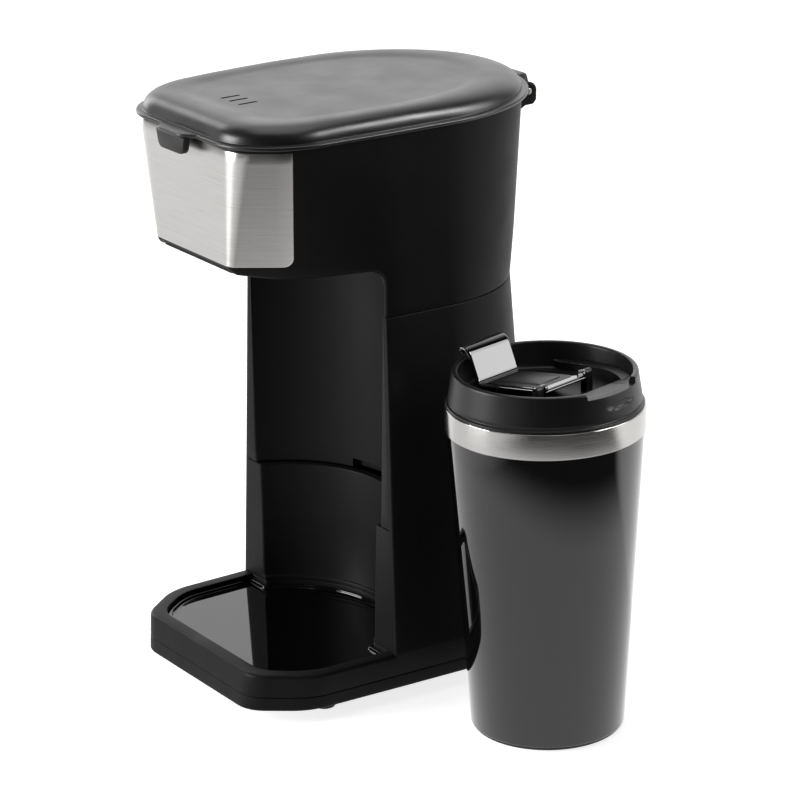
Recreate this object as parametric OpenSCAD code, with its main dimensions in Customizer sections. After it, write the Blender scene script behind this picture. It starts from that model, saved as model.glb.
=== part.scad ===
// Single-cup drip coffee maker with a lidded travel mug standing beside it.
// Front of the machine is -Y, up is +Z, the feet and the mug stand on Z = 0.

/* [Body] */
// Half width of the body at the base rim
base_half_w = 66; // [63:0.5:72]
// How much narrower the column is on each side at its seam than at the base
seam_taper = 6.1; // [4:0.1:8]
// How much narrower the head is on each side than the base
head_taper = 5.1; // [3:0.1:8]
// Front of the base rim ahead of the body datum
base_front = 103.6; // [98:0.1:112]
// Front of the head ahead of the body datum
head_front = 99.7; // [95:0.1:102]
// Depth of the rounded back behind the body datum
back_depth = 70.5; // [68:0.5:80]
// How much less deep the rounded back is at the seam
back_taper = 9.6; // [4:0.1:11]
// Height of the rubber feet
foot_h = 6.3; // [4:0.1:9]
// Height of the base rim
rim_z = 23.8; // [22.5:0.1:28]
// Height of the joint between the lower and upper housing
seam_z = 182.5; // [172:0.5:190]
// Height of the underside of the head
under_z = 204.2; // [200:0.1:206]
// Height of the open top of the upper housing
head_top = 265.6; // [262:0.1:275]
// Wall thickness of the housings
wall_t = 2.5; // [2:0.1:3]

/* [Cup bay] */
// Radius of the concave wall at the base
bay_r_base = 51; // [48:0.1:53]
// Radius of the concave wall at the head underside
bay_r_top = 62; // [60:0.1:62.5]
// How far the lower concave panel stands proud of the upper one
bay_step = 3.4; // [2:0.1:4.5]
// Centre line of the cup ahead of the body datum
bay_front = 57.75; // [57:0.05:62]
// Thickness of the concave wall panels
panel_wall_t = 2.5; // [2:0.1:3]
// Height of the split between the two concave panels
split_z = 82; // [60:1:110]
// Width of the rim around the drip tray
rim_w = 7; // [5:0.1:9]
// Thickness of the drip tray
tray_t = 2.4; // [1.8:0.1:3]

/* [Front panel] */
// Thickness of the steel front panel
steel_t = 0.8; // [0.6:0.1:1.2]
// Height of the lower edge of the steel panel
steel_z0 = 210.8; // [208:0.1:220]

/* [Lid] */
// Height of the lid dome above its flange
dome_h = 7.6; // [7:0.1:14]
// Thickness of the lid wall
lid_t = 2; // [1.6:0.1:2.6]
// How far the lid flange overhangs the head
lid_over = 3; // [2:0.1:4]
// Radius of the lid hinge pin
pin_r = 1.5; // [1.2:0.1:2]

/* [Brewing parts] */
// Radius of the filter well at its top
well_r = 37.6; // [34:0.1:37.8]
// Wall thickness of the tank and filter well
tank_t = 2; // [1.6:0.1:2.4]
// Height of the tank floor
tank_z = 152; // [140:1:165]
// Wall thickness of the filter holder
holder_t = 1.6; // [1.2:0.1:2]
// Outer radius of the heater water tube
tube_r = 4; // [3.5:0.1:4.4]
// Wall thickness of the hoses
hose_t = 1.5; // [1:0.1:2]
// Radius of the power button
button_r = 7; // [5:0.1:9]
// Travel of the power button
button_travel = 2; // [1.5:0.1:2.5]

/* [Travel mug] */
// Distance from the body datum to the mug axis, to the right
mug_right = 121.6; // [118:0.1:140]
// Radius of the mug at its foot
mug_foot_r = 34.7; // [32:0.1:37]
// Radius of the steel band
band_r = 44.2; // [42:0.1:46]
// Height of the lower edge of the steel band
band_z = 140.2; // [130:0.1:150]
// Height of the steel band
band_h = 11.5; // [9:0.1:14]
// Thickness of the mug shell
shell_t = 2; // [1.6:0.1:2.6]
// Thickness of the steel liner
liner_t = 0.8; // [0.6:0.1:1]
// Height of the mug lid above the band
mug_lid_h = 15.5; // [14:0.1:18]
// Turn of the drinking side away from the machine's right
drink_turn = 13; // [0:1:40]

/* [Clearances] */
// Gap between seated pieces
seat_gap = 0.3; // [0.2:0.05:0.4]
// Radial running clearance of pins in bores
run_gap = 0.06; // [0.03:0.01:0.08]

/* [Hidden] */
tip_y = -35;
seam_half_w = base_half_w - seam_taper;
head_half_w = base_half_w - head_taper;
bay_r_split = bay_r_base + 6.6;
far = 4 * base_half_w;
z_bot = foot_h;
deck_z = rim_z - 8.8;
pocket_z = rim_z - 5.8;
bay_y = -bay_front;
lid_z = head_top + seat_gap;
flange_t = 1.85;
groove_z = lid_z + flange_t;
lid_top = groove_z + dome_h;
deck_top = head_top - 3;
riser_y = bay_y + bay_r_top + panel_wall_t + 0.8 + tube_r + hose_t;
tank_front = riser_y + tube_r + hose_t + 0.7;
outlet = [30, tank_front + tank_t + 14];
holder_z = under_z + wall_t + tank_t;
hinge_y = back_depth + 5.5;
ear_x = 13;
hinge_z = head_top - 5.9;
button_y = 15;
button_z = rim_z + 17;
mug_y = 6.3;
mug_lid_z = band_z + band_h;
mug_top = mug_lid_z + mug_lid_h;
set_left = base_half_w + 1;
set_right = mug_right + band_r;
set_front = head_front + 8.3;
set_rear = hinge_y + 4.3;
set_x = (set_right - set_left) / 2;
set_y = (set_rear - set_front) / 2;

// Plan outlines: half flat, half width at chamfer, front, chamfer depth, arm half width, widest, rear
plan_foot = [45.2, base_half_w - 3.3, -base_front - 2.2, 23.1, base_half_w - 1.5, base_half_w - 0.5, back_depth + 0.7];
plan_rim = [47.1, base_half_w - 0.9, -base_front, 23.3, base_half_w, base_half_w + 1, back_depth + 1.5];
plan_seam = [27, 46, -head_front + 2.8, 24, seam_half_w, seam_half_w + 0.7, back_depth - back_taper];
plan_under = [30.7, head_half_w - 12.3, -head_front + 1.9, 23.5, head_half_w - 1, head_half_w - 0.2, back_depth - back_taper + 3];
plan_top = [41.5, head_half_w - 2.4, -head_front, 20.1, head_half_w - 0.2, head_half_w + 0.3, back_depth - 0.5];
breaks = [rim_z, seam_z, under_z];

function mix(a, b, t) = a * (1 - t) + b * t;
function plan_at(z) =
    z < rim_z ? mix(plan_foot, plan_rim, (z - z_bot) / (rim_z - z_bot)) :
    z < seam_z ? mix(plan_rim, plan_seam, (z - rim_z) / (seam_z - rim_z)) :
    z < under_z ? mix(plan_seam, plan_under, (z - seam_z) / (under_z - seam_z)) :
    mix(plan_under, plan_top, (z - under_z) / (head_top - under_z));
function inset(p, t) = [p[0] - 0.49 * t, p[1] - t, p[2] + t, p[3] - 0.66 * t, p[4] - t, p[5] - t, p[6] - t];
function bend(v, a, b, d, n) =
    let (p = v + d * (a - v) / norm(a - v), q = v + d * (b - v) / norm(b - v))
    [for (i = [0:n]) let (t = i / n) (1 - t) * (1 - t) * p + 2 * t * (1 - t) * v + t * t * q];
function half_ring(p) =
    let (a = [p[0], p[2]], b = [p[1], p[2] + p[3]], c = [p[4], tip_y], e = [p[5], 0])
    concat(bend(a, [0, p[2]], b, 8, 4), bend(b, a, c, 9, 4), bend(c, b, e, 10, 2),
        [for (i = [0:9]) [p[5] * cos(10 * i), p[6] * sin(10 * i)]]);
function ring(p) =
    let (h = half_ring(p), n = len(h))
    concat(h, [[0, p[6]]], [for (i = [n - 1:-1:0]) [-h[i][0], h[i][1]]]);
function bay_low_r(z) = mix(bay_r_base, bay_r_split - bay_step, (z - rim_z) / (split_z - rim_z));
function bay_r(z) = mix(bay_r_split, bay_r_top, (z - split_z) / (under_z - split_z));
function tip_at(z) = tip_y - 3.1 + 3.4 * (z - rim_z) / (seam_z - rim_z);
function mug_r(z) = mix(mug_foot_r, band_r - 0.7, z / band_z);

module place() {
    translate([-set_x, -set_y, 0]) children();
}

module at_mug(turn = 0) {
    place() translate([mug_right, mug_y, 0]) rotate([0, 0, turn]) children();
}

// Solid through a stack of [height, outline] rings
module loft(rings) {
    n = len(rings[0][1]);
    m = len(rings);
    pts = [for (r = rings) for (p = r[1]) [p[0], p[1], r[0]]];
    low = [for (i = [0:n - 1]) i];
    high = [for (i = [n - 1:-1:0]) (m - 1) * n + i];
    a = [for (k = [0:m - 2]) for (i = [0:n - 1]) [k * n + i, k * n + n + i, k * n + n + (i + 1) % n]];
    b = [for (k = [0:m - 2]) for (i = [0:n - 1]) [k * n + i, k * n + n + (i + 1) % n, k * n + (i + 1) % n]];
    polyhedron(points = pts, faces = concat([low, high], a, b));
}

// The body outline between two heights, moved inwards
module body(z0, z1, t = 0) {
    zs = concat([z0], [for (z = breaks) if (z > z0 + 0.05 && z < z1 - 0.05) z], [z1]);
    loft([for (z = zs) [z, ring(inset(plan_at(z), t))]]);
}

// Lower part of the cup bay, carried on past the split where asked, grown by g
module low_bay(z0, z1, g = 0) {
    translate([0, bay_y, z0]) cylinder(r1 = bay_low_r(z0) + g, r2 = bay_low_r(z1) + g, h = z1 - z0, $fn = 96);
    bay_mouth(z0, z1, g);
}

// Everything ahead of the tips of the column arms, grown by g
module bay_mouth(z0, z1, g) {
    rotate([90, 0, 90]) linear_extrude(height = far, center = true)
        polygon([[-far, z0], [tip_at(z0) + g, z0], [tip_at(z1) + g, z1], [-far, z1]]);
}

// The cup bay in front of the column, grown by g
module bay(z0, z1, g = 0) {
    m = max(z0, split_z);
    if (z0 < split_z) low_bay(z0, min(z1, split_z), g);
    if (z1 > split_z) translate([0, bay_y, m]) cylinder(r1 = bay_r(m) + g, r2 = bay_r(z1) + g, h = z1 - m, $fn = 96);
    if (z1 > split_z) bay_mouth(m, z1, g);
}

// Straight-walled well inside the base rim: t in from the rim, g in from the column
module tray_well(z0, z1, t, g) {
    intersection() {
        loft([for (z = [z0, z1]) [z, ring(inset(plan_rim, t))]]);
        union() {
            translate([0, bay_y, z0 - 1]) cylinder(r = bay_r_base - g, h = z1 - z0 + 2, $fn = 96);
            translate([-far / 2, tip_at(rim_z) - g - far, z0 - 1]) cube([far, far, z1 - z0 + 2]);
        }
    }
}

// Tube standing on z0
module tube(r, t, z0, z1) {
    translate([0, 0, z0]) difference() {
        cylinder(r = r, h = z1 - z0, $fn = 64);
        translate([0, 0, -1]) cylinder(r = r - t, h = z1 - z0 + 2, $fn = 64);
    }
}

foot_spots = [[0, -88], [-48, -66], [48, -66], [-42, 42], [42, 42]];
screw_spots = [[-34, -84], [34, -84], [-base_half_w + 7.6, 14], [base_half_w - 7.6, 14]];
boss_r = 4.6;
screw_r = 1.5;
plate_z = z_bot + 2.2;

// Moulded floor closing the underside of the lower housing
module base_plate() color("#1b1b1c") place() difference() {
    body(z_bot, plate_z, wall_t + seat_gap);
    for (p = screw_spots) translate([p[0], p[1], z_bot - 1]) cylinder(r = screw_r + 0.3, h = 5, $fn = 32);
}

// Five tapered rubber feet
module feet() color("#101010") place() for (p = foot_spots) translate([p[0], p[1], 0])
    cylinder(r1 = 5, r2 = 6.5, h = foot_h, $fn = 48);

// Pan-head screws holding the floor
module base_screws() color("#9a9a9a") place() for (p = screw_spots) translate([p[0], p[1], 0]) {
    translate([0, 0, z_bot - 1.6]) cylinder(r = 3, h = 1.6, $fn = 32);
    translate([0, 0, z_bot - 0.1]) cylinder(r = screw_r, h = 7.1, $fn = 32);
}

// Base with its rim, the well for the drip tray and the deck that carries the column
module lower_housing() color("#1b1b1c") place() {
    difference() {
        body(z_bot, rim_z);
        tray_well(pocket_z, rim_z + 0.01, rim_w, 0.2);
        difference() {
            body(z_bot - 1, rim_z + 1, wall_t);
            bay(deck_z, rim_z, panel_wall_t);
        }
        translate([0, 50, z_bot + 8]) rotate([-90, 0, 0]) cylinder(r = 5.2, h = 40, $fn = 48);
    }
    for (p = screw_spots) translate([p[0], p[1], 0]) tube(boss_r, boss_r - screw_r - 0.05, plate_z, deck_z + 0.5);
}

// Outer shell of the column, open to the cup bay, standing on the base
module column_shell() color("#1b1b1c") place() {
    difference() {
        body(rim_z, seam_z - seat_gap);
        bay(rim_z - 1, seam_z + 1);
        body(rim_z - 1, seam_z + 1, wall_t);
        translate([40, button_y, button_z]) rotate([0, 90, 0]) cylinder(r = button_r + seat_gap, h = 40, $fn = 64);
    }
    translate([0, button_y, button_z]) rotate([0, 90, 0])
        tube(button_r + 2.3, 2.3 - seat_gap, switch_x, side_x(button_z + button_r + 3) - 1);
}

// Loose drip tray lining the pocket in front of the column
module drip_tray() color("#0b0b0c") place() difference() {
    tray_well(pocket_z, pocket_z + tray_t + 1.4, rim_w + seat_gap, 0.2 + seat_gap);
    tray_well(pocket_z + tray_t, pocket_z + tray_t + 2, rim_w + seat_gap + 1.6, 1.8 + seat_gap);
}

// Concave wall between two heights, with the strips that end the column arms
module bay_panel(z0, z1) {
    intersection() {
        body(z0, z1, wall_t + 0.15);
        difference() {
            bay(z0 - 0.01, z1 + 0.01, panel_wall_t);
            bay(z0 - 1, z1 + 1);
        }
    }
}

// Lower concave panel with the ledge that closes the step to the upper one
module column_front_lower() color("#1b1b1c") place() intersection() {
    body(rim_z, split_z, wall_t + 0.15);
    difference() {
        union() {
            low_bay(rim_z - 0.01, split_z + 0.2, panel_wall_t);
            translate([0, bay_y, split_z - 2.5]) cylinder(r = bay_r_split + panel_wall_t, h = 3, $fn = 96);
        }
        low_bay(rim_z - 1, split_z + 1);
    }
}

module column_front_upper() color("#1b1b1c") place() bay_panel(split_z + 0.5, under_z);

// Upper housing with the head, its underside and the two hinge ears
module upper_housing() color("#1b1b1c") place() {
    difference() {
        body(seam_z, head_top);
        bay(seam_z - 1, under_z);
        difference() {
            body(seam_z - 1, head_top + 1, wall_t);
            bay(under_z, under_z + wall_t, panel_wall_t);
        }
        translate([0, bay_y, under_z - 1]) cylinder(r = 11.3, h = 10, $fn = 64);
        difference() {
            body(steel_z0 - 0.3, head_top - 0.9, -3);
            body(steel_z0 - 1, head_top, steel_t);
            translate([-far / 2, tip_y - 40, steel_z0 - 2]) cube([far, far, head_top]);
        }
    }
    for (s = [-1, 1]) difference() {
        hull() {
            translate([s * ear_x, hinge_y, hinge_z]) rotate([0, 90, 0]) cylinder(r = 4.3, h = 4, center = true, $fn = 32);
            translate([s * ear_x - 2, back_depth - 4.3, hinge_z - 13]) cube([4, 1.2, 15]);
        }
        translate([s * ear_x, hinge_y, hinge_z]) rotate([0, 90, 0]) cylinder(r = pin_r + 0.02, h = 6, center = true, $fn = 32);
    }
}

// Steel sheet wrapped over the front and both chamfers of the head
module front_panel() color("#c9c8c6") place() difference() {
    body(steel_z0, head_top - 1.2);
    body(steel_z0 - 1, head_top, steel_t);
    translate([-far / 2, tip_y - 40.3, steel_z0 - 2]) cube([far, far, head_top]);
}

// Inner moulding: deck, water tank and filter well
module reservoir() color("#262626") place() {
    difference() {
        union() {
            body(deck_top - tank_t, deck_top, wall_t + seat_gap);
            intersection() {
                body(tank_z, deck_top, wall_t + seat_gap + 0.5);
                translate([-far / 2, tank_front, tank_z - 1]) cube([far, far, head_top]);
            }
            translate([0, bay_y, under_z + wall_t]) cylinder(r1 = well_r - 3.5, r2 = well_r + 0.4, h = deck_top - under_z - wall_t - 1, $fn = 96);
            translate([outlet[0], outlet[1], tank_z - 14]) cylinder(r = tube_r, h = 15, $fn = 64);
            translate([0, riser_y, deck_top - 10]) cylinder(r = tube_r, h = 12, $fn = 64);
        }
        intersection() {
            body(tank_z + tank_t, deck_top + 1, wall_t + seat_gap + 0.5 + tank_t);
            translate([-far / 2, tank_front + tank_t, tank_z - 1]) cube([far, far, head_top]);
        }
        translate([0, bay_y, holder_z]) cylinder(r1 = well_r - 3.5 - tank_t, r2 = well_r + 0.4 - tank_t, h = deck_top - holder_z + 0.1, $fn = 96);
        translate([0, bay_y, under_z]) cylinder(r = 11.3, h = 10, $fn = 64);
        translate([outlet[0], outlet[1], tank_z - 15]) cylinder(r = tube_r - 1.2, h = 30, $fn = 64);
        translate([0, riser_y, deck_top - 12]) cylinder(r = tube_r - 1.2, h = 20, $fn = 64);
    }
}

holder_h = deck_top - holder_z - 2;
holder_r1 = well_r - 3.5 - tank_t - 0.6;
holder_r2 = well_r - 0.6 - tank_t;

// Basket that carries the coffee filter
module filter_holder() color("#202020") place() translate([0, bay_y, holder_z]) difference() {
    union() {
        cylinder(r1 = holder_r1, r2 = holder_r2, h = holder_h, $fn = 96);
        translate([0, 0, holder_h - 0.01]) cylinder(r = holder_r2, h = 1.4, $fn = 96);
    }
    translate([0, 0, holder_t]) cylinder(r1 = holder_r1 - holder_t, r2 = holder_r2 - holder_t, h = holder_h + 1.5, $fn = 96);
    translate([0, 0, -1]) cylinder(r = 5, h = 5, $fn = 48);
}

mesh_h = holder_h - holder_t - 1.6;

// Reusable mesh cone hanging by its rim in the basket
module filter_mesh() color("#c4a24a") place() translate([0, bay_y, holder_z + holder_t + 3]) difference() {
    union() {
        cylinder(r1 = holder_r1 - holder_t - 2.5, r2 = holder_r2 - holder_t - 1.2, h = mesh_h, $fn = 96);
        translate([0, 0, mesh_h]) cylinder(r = holder_r2 - 0.3, h = 0.8, $fn = 96);
    }
    translate([0, 0, 0.8]) cylinder(r1 = holder_r1 - holder_t - 3.3, r2 = holder_r2 - holder_t - 2, h = mesh_h, $fn = 96);
}

// Funnel that leads the coffee through the underside of the head
module outlet_spout() color("#141414") place() translate([0, bay_y, under_z]) difference() {
    union() {
        translate([0, 0, -6]) cylinder(r1 = 6, r2 = 8, h = 6, $fn = 64);
        translate([0, 0, -0.01]) cylinder(r = 11.25, h = holder_z - under_z + 0.01, $fn = 64);
    }
    translate([0, 0, -7]) cylinder(r = 3.6, h = 20, $fn = 48);
}

function lid_plan(t) = inset(plan_top, t);

// Domed lid with its flange, front tab and rear knuckle
module lid() color("#3a3a3a") place() {
    difference() {
        loft([[lid_z, ring(lid_plan(-lid_over))], [groove_z, ring(lid_plan(-lid_over))]]);
        loft([[lid_z - 1, ring(lid_plan(lid_t))], [groove_z + 1, ring(lid_plan(lid_t))]]);
    }
    difference() {
        loft([[groove_z - 0.01, ring(lid_plan(0))], [groove_z + 0.38 * dome_h, ring(lid_plan(0.6))],
            [groove_z + 0.72 * dome_h, ring(lid_plan(2.6))], [groove_z + 0.93 * dome_h, ring(lid_plan(6.2))],
            [lid_top, ring(lid_plan(11))]]);
        loft([[groove_z - 1, ring(lid_plan(lid_t))], [groove_z + 0.38 * dome_h, ring(lid_plan(0.6 + lid_t))],
            [lid_top - lid_t, ring(lid_plan(8 + lid_t))]]);
        for (s = [-1, 0, 1]) translate([7 * s - 1, -79, lid_top - 4]) cube([2, 9, 10]);
    }
    translate([0, 0, lid_z]) linear_extrude(height = flange_t)
        polygon([[-15, -head_front - 1], [-10, -head_front - 8.3], [10, -head_front - 8.3], [15, -head_front - 1]]);
    difference() {
        union() {
            translate([2.4 - ear_x, 0, 0]) rotate([90, 0, 90]) linear_extrude(height = 2 * ear_x - 4.8)
                polygon([[hinge_y - 2, hinge_z], [hinge_y - 5.2, lid_z + 0.5], [hinge_y - 5.2, lid_z + flange_t],
                    [hinge_y + 1.5, lid_z + flange_t], [hinge_y + 3.6, hinge_z]]);
            translate([0, hinge_y, hinge_z]) rotate([0, 90, 0]) cylinder(r = 3.8, h = 2 * ear_x - 4.8, center = true, $fn = 48);
        }
        translate([0, hinge_y, hinge_z]) rotate([0, 90, 0]) cylinder(r = pin_r + run_gap, h = 2 * ear_x, center = true, $fn = 48);
    }
}

// Grip block under the front tab of the lid
module lid_catch() color("#565656") place() translate([0, 0, lid_z - 8]) linear_extrude(height = 8)
    polygon([[-11, -head_front - 1.2], [-9, -head_front - 6.8], [9, -head_front - 6.8], [11, -head_front - 1.2]]);

// Inner lid with the water channel over the riser and the filter
module lid_liner() color("#262626") place() difference() {
    union() {
        loft([[lid_z + 1, ring(lid_plan(lid_t + seat_gap))], [groove_z + 0.6, ring(lid_plan(lid_t + seat_gap))]]);
        translate([-9, bay_y, groove_z - 0.2]) cube([18, riser_y - bay_y + 9, dome_h - lid_t - 0.4]);
    }
    translate([-5, bay_y + 1, groove_z + 0.4]) cube([10, riser_y - bay_y + 3, 3.6]);
    translate([0, riser_y, lid_z - 1]) cylinder(r = tube_r + 0.5, h = 4, $fn = 48);
    translate([0, bay_y + 6, lid_z - 1]) cylinder(r = 3.5, h = 4, $fn = 48);
}

// Perforated plate spreading the water over the coffee
module shower_plate() color("#262626") place() translate([0, bay_y, lid_z - 2.4]) difference() {
    cylinder(r = 24, h = 3.4, $fn = 96);
    translate([0, 0, 1.4]) cylinder(r = 22.4, h = 3, $fn = 96);
    for (k = [0:7]) rotate([0, 0, 45 * k]) translate([15, 0, -1]) cylinder(r = 1.2, h = 4, $fn = 24);
}

module hinge_pin() color("#8d8d8d") place() translate([0, hinge_y, hinge_z]) rotate([0, 90, 0])
    cylinder(r = pin_r, h = 2 * ear_x + 4.4, center = true, $fn = 48);

heat_c = [outlet[0] / 2, (outlet[1] + riser_y) / 2];
heat_r = norm([outlet[0], outlet[1] - riser_y]) / 2;
heat_turn = atan2(outlet[1] - riser_y, outlet[0]);
heat_z = plate_z + 12 + heat_r;
leg_top = heat_z + 24;

// U-shaped tube standing in the column foot
module u_tube(r, t, z_top) {
    rotate([-90, 0, 0]) rotate_extrude(angle = 180, $fn = 96) translate([heat_r, 0]) difference() {
        circle(r = r, $fn = 48);
        if (t > 0) circle(r = r - t, $fn = 48);
    }
    for (s = [-1, 1]) translate([s * heat_r, 0, 0]) if (t > 0) tube(r, t, 0, z_top); else cylinder(r = r, h = z_top, $fn = 48);
}

module at_heater() {
    place() translate([heat_c[0], heat_c[1], heat_z]) rotate([0, 0, heat_turn]) children();
}

module heater_tube() color("#b9bcc0") at_heater() u_tube(tube_r, 1, leg_top - heat_z);

module heater_element() color("#8a8d91") at_heater() translate([0, tube_r + 3.22, 0]) {
    u_tube(3.2, 0, 8);
    for (s = [-1, 1]) translate([s * heat_r, 0, 7.9]) cylinder(r = 1.2, h = 10, $fn = 32);
}

// Plate standing on the floor that holds the heater and the temperature guards
module heater_bracket() color("#a7a9ac") at_heater() difference() {
    translate([-heat_r - tube_r, -tube_r - 1.55, plate_z - heat_z]) cube([2 * (heat_r + tube_r), 1.5, heat_z - plate_z + 14]);
    translate([0, -tube_r, 4]) rotate([90, 0, 0]) cylinder(r = 2.1, h = 8, center = true, $fn = 32);
}

module thermostat() color("#d8d4c8") at_heater() translate([0, -tube_r - 1.55, 4]) rotate([90, 0, 0]) {
    cylinder(r = 7, h = 5, $fn = 48);
    translate([0, 0, -2.9]) cylinder(r = 1.9, h = 3, $fn = 32);
}

module thermal_fuse() color("#c9b27a") at_heater() translate([-5.5, 2.25 - tube_r, -3.5]) rotate([0, 90, 0])
    cylinder(r = 2.2, h = 11, $fn = 32);

valve_z0 = leg_top + 12;
valve_z1 = valve_z0 + 22;

// Hose from the tank outlet to the one-way valve
module feed_hose() color("#d9d9d6") place() translate([outlet[0], outlet[1], 0])
    tube(tube_r + hose_t, hose_t - 0.03, valve_z1 + 0.3, tank_z - 0.6);

module check_valve() color("#e6e4dc") place() translate([outlet[0], outlet[1], 0]) difference() {
    union() {
        translate([0, 0, valve_z0]) cylinder(r = tube_r + 2.5, h = valve_z1 - valve_z0, $fn = 64);
        translate([0, 0, valve_z0 - 8]) cylinder(r = tube_r, h = valve_z1 - valve_z0 + 16, $fn = 64);
    }
    translate([0, 0, valve_z0 - 9]) cylinder(r = tube_r - 1.4, h = valve_z1 - valve_z0 + 18, $fn = 64);
}

module valve_hose() color("#d9d9d6") place() translate([outlet[0], outlet[1], 0])
    tube(tube_r + hose_t, hose_t - 0.03, leg_top - 9, valve_z0 - 0.3);

module riser_hose() color("#d9d9d6") place() translate([0, riser_y, 0])
    tube(tube_r + hose_t, hose_t - 0.03, leg_top - 9, deck_top - tank_t - 0.5);

clamp_spots = [[outlet, leg_top - 6], [outlet, valve_z0 - 5], [outlet, valve_z1 + 2], [outlet, tank_z - 6], [[0, riser_y], leg_top - 6]];

// Spring clamps on the hose ends
module hose_clamps() color("#9c9ea1") place() for (c = clamp_spots) translate([c[0][0], c[0][1], 0])
    tube(tube_r + hose_t + 0.63, 0.6, c[1], c[1] + 3);

function side_x(z) = plan_at(z)[5] * sqrt(1 - pow(button_y / plan_at(z)[6], 2));
button_x = side_x(button_z) + 1.2 + button_travel;
switch_x = side_x(button_z + button_r) - wall_t - 1.5 - button_travel - 3;

// Push button in the right-hand side, behind the mug
module power_button() color("#2b2b2b") place() translate([0, button_y, button_z]) rotate([0, 90, 0])
    translate([0, 0, switch_x + button_travel + 0.4]) cylinder(r = button_r, h = button_x - switch_x - button_travel - 0.4, $fn = 64);

module switch_body() color("#151515") place() translate([switch_x - 14, button_y - 8, button_z - 8]) cube([14, 16, 16]);

module terminal_block() color("#e9e6da") place() translate([-34, 22, plate_z]) difference() {
    cube([24, 12, 14]);
    for (k = [0:2]) translate([5 + 7 * k, 6, 4]) cylinder(r = 1.6, h = 11, $fn = 32);
}

bush_y = plan_at(z_bot + 14.6)[6] + 0.02;

// Flanged bushing for the mains lead at the back of the base
module cord_bushing() color("#111111") place() translate([0, bush_y, z_bot + 8]) rotate([90, 0, 0]) difference() {
    union() {
        translate([0, 0, -3]) cylinder(r = 6.5, h = 3, $fn = 48);
        translate([0, 0, -0.5]) cylinder(r = 5, h = 9.5, $fn = 48);
    }
    translate([0, 0, -5]) cylinder(r = 3.3, h = 16, $fn = 48);
}

// Tapered outer wall of the mug
module mug_shell() color("#0a0a0b") at_mug() difference() {
    translate([0, 0, 1.5]) cylinder(r1 = mug_r(1.5), r2 = mug_r(mug_lid_z - 1), h = mug_lid_z - 2.5, $fn = 128);
    translate([0, 0, 1.4]) cylinder(r1 = mug_r(1.5) - shell_t, r2 = mug_r(mug_lid_z - 1) - shell_t, h = mug_lid_z - 2.3, $fn = 128);
    translate([0, 0, band_z]) difference() {
        cylinder(r = band_r + 2, h = band_h + 2, $fn = 128);
        translate([0, 0, -1]) cylinder(r = band_r - 1, h = band_h + 4, $fn = 128);
    }
}

liner_r = band_r - 1 - shell_t - 1.6;

// Steel inner cup hanging from its rolled lip
module mug_liner() color("#c4c4c2") at_mug() difference() {
    union() {
        translate([0, 0, 9]) cylinder(r1 = mug_foot_r - 5, r2 = liner_r, h = mug_lid_z - 21, $fn = 128);
        translate([0, 0, mug_lid_z - 12.01]) cylinder(r = liner_r, h = 11.2, $fn = 128);
        translate([0, 0, mug_lid_z - 1]) cylinder(r = band_r - 1.2, h = 0.7, $fn = 128);
    }
    translate([0, 0, 9 + liner_t]) cylinder(r1 = mug_foot_r - 5 - liner_t, r2 = liner_r - liner_t, h = mug_lid_z - 21 - liner_t, $fn = 128);
    translate([0, 0, mug_lid_z - 12.02]) cylinder(r = liner_r - liner_t, h = 20, $fn = 128);
}

// Brushed steel band around the mouth
module mug_band() color("#c9c8c6") at_mug() difference() {
    translate([0, 0, band_z]) cylinder(r = band_r, h = band_h, $fn = 128);
    translate([0, 0, band_z - 1]) cylinder(r = band_r - 0.95, h = band_h + 2, $fn = 128);
}

// Foot cap closing the mug
module mug_foot() color("#111111") at_mug() {
    cylinder(r1 = mug_foot_r - 1.6, r2 = mug_foot_r - 0.2, h = 1.5, $fn = 128);
    translate([0, 0, 1.4]) cylinder(r = mug_r(1.5) - shell_t - 0.1, h = 3, $fn = 128);
}

lid_r0 = band_r - 0.7;
lid_r1 = band_r - 3.35;
lid_floor = mug_top - 11.8;
plug_r = liner_r - liner_t - 0.9;
hole_u = -6;
pin_u = 10;
pin_z = mug_top - 3.3;
flap_pin_r = 1.2;

// Push-in lid with a sunken top, spout channel and lugs for the flap
module mug_lid() color("#131314") at_mug(drink_turn) {
    difference() {
        union() {
            translate([0, 0, mug_lid_z]) cylinder(r1 = lid_r0, r2 = lid_r1, h = mug_lid_h, $fn = 128);
            translate([0, 0, mug_lid_z - 11]) cylinder(r = plug_r, h = 11.5, $fn = 128);
        }
        translate([0, 0, lid_floor]) cylinder(r1 = lid_r1 - 5, r2 = lid_r1 - 1.6, h = 20, $fn = 128);
        translate([0, 0, mug_lid_z - 12]) cylinder(r = plug_r - 2.2, h = lid_floor - mug_lid_z + 10, $fn = 128);
        translate([0, 0, mug_lid_z - 8]) difference() {
            cylinder(r = plug_r + 2, h = 3.6, $fn = 128);
            translate([0, 0, -1]) cylinder(r = plug_r - 1.2, h = 6, $fn = 128);
        }
        translate([hole_u, 0, mug_lid_z]) cylinder(r = 5.5, h = 20, $fn = 48);
        translate([lid_r1 - 8, -15.5, mug_top - 2.6]) cube([20, 31, 10]);
        translate([-19, 0, mug_lid_z - 1]) cylinder(r = 1.2, h = 12, $fn = 24);
    }
    for (s = [-1, 1]) difference() {
        translate([pin_u - 3, s * 17 - 1.5, lid_floor - 0.01]) cube([6, 3, mug_top - lid_floor - 0.6]);
        translate([pin_u, s * 17, pin_z]) rotate([90, 0, 0]) cylinder(r = flap_pin_r + 0.02, h = 6, center = true, $fn = 32);
    }
}

// Rubber ring in the groove of the plug
module mug_seal() color("#2a2a2a") at_mug() translate([0, 0, mug_lid_z - 7.9]) difference() {
    cylinder(r = liner_r - liner_t - 0.05, h = 3.4, $fn = 128);
    translate([0, 0, -1]) cylinder(r = plug_r - 1.15, h = 6, $fn = 128);
}

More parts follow.
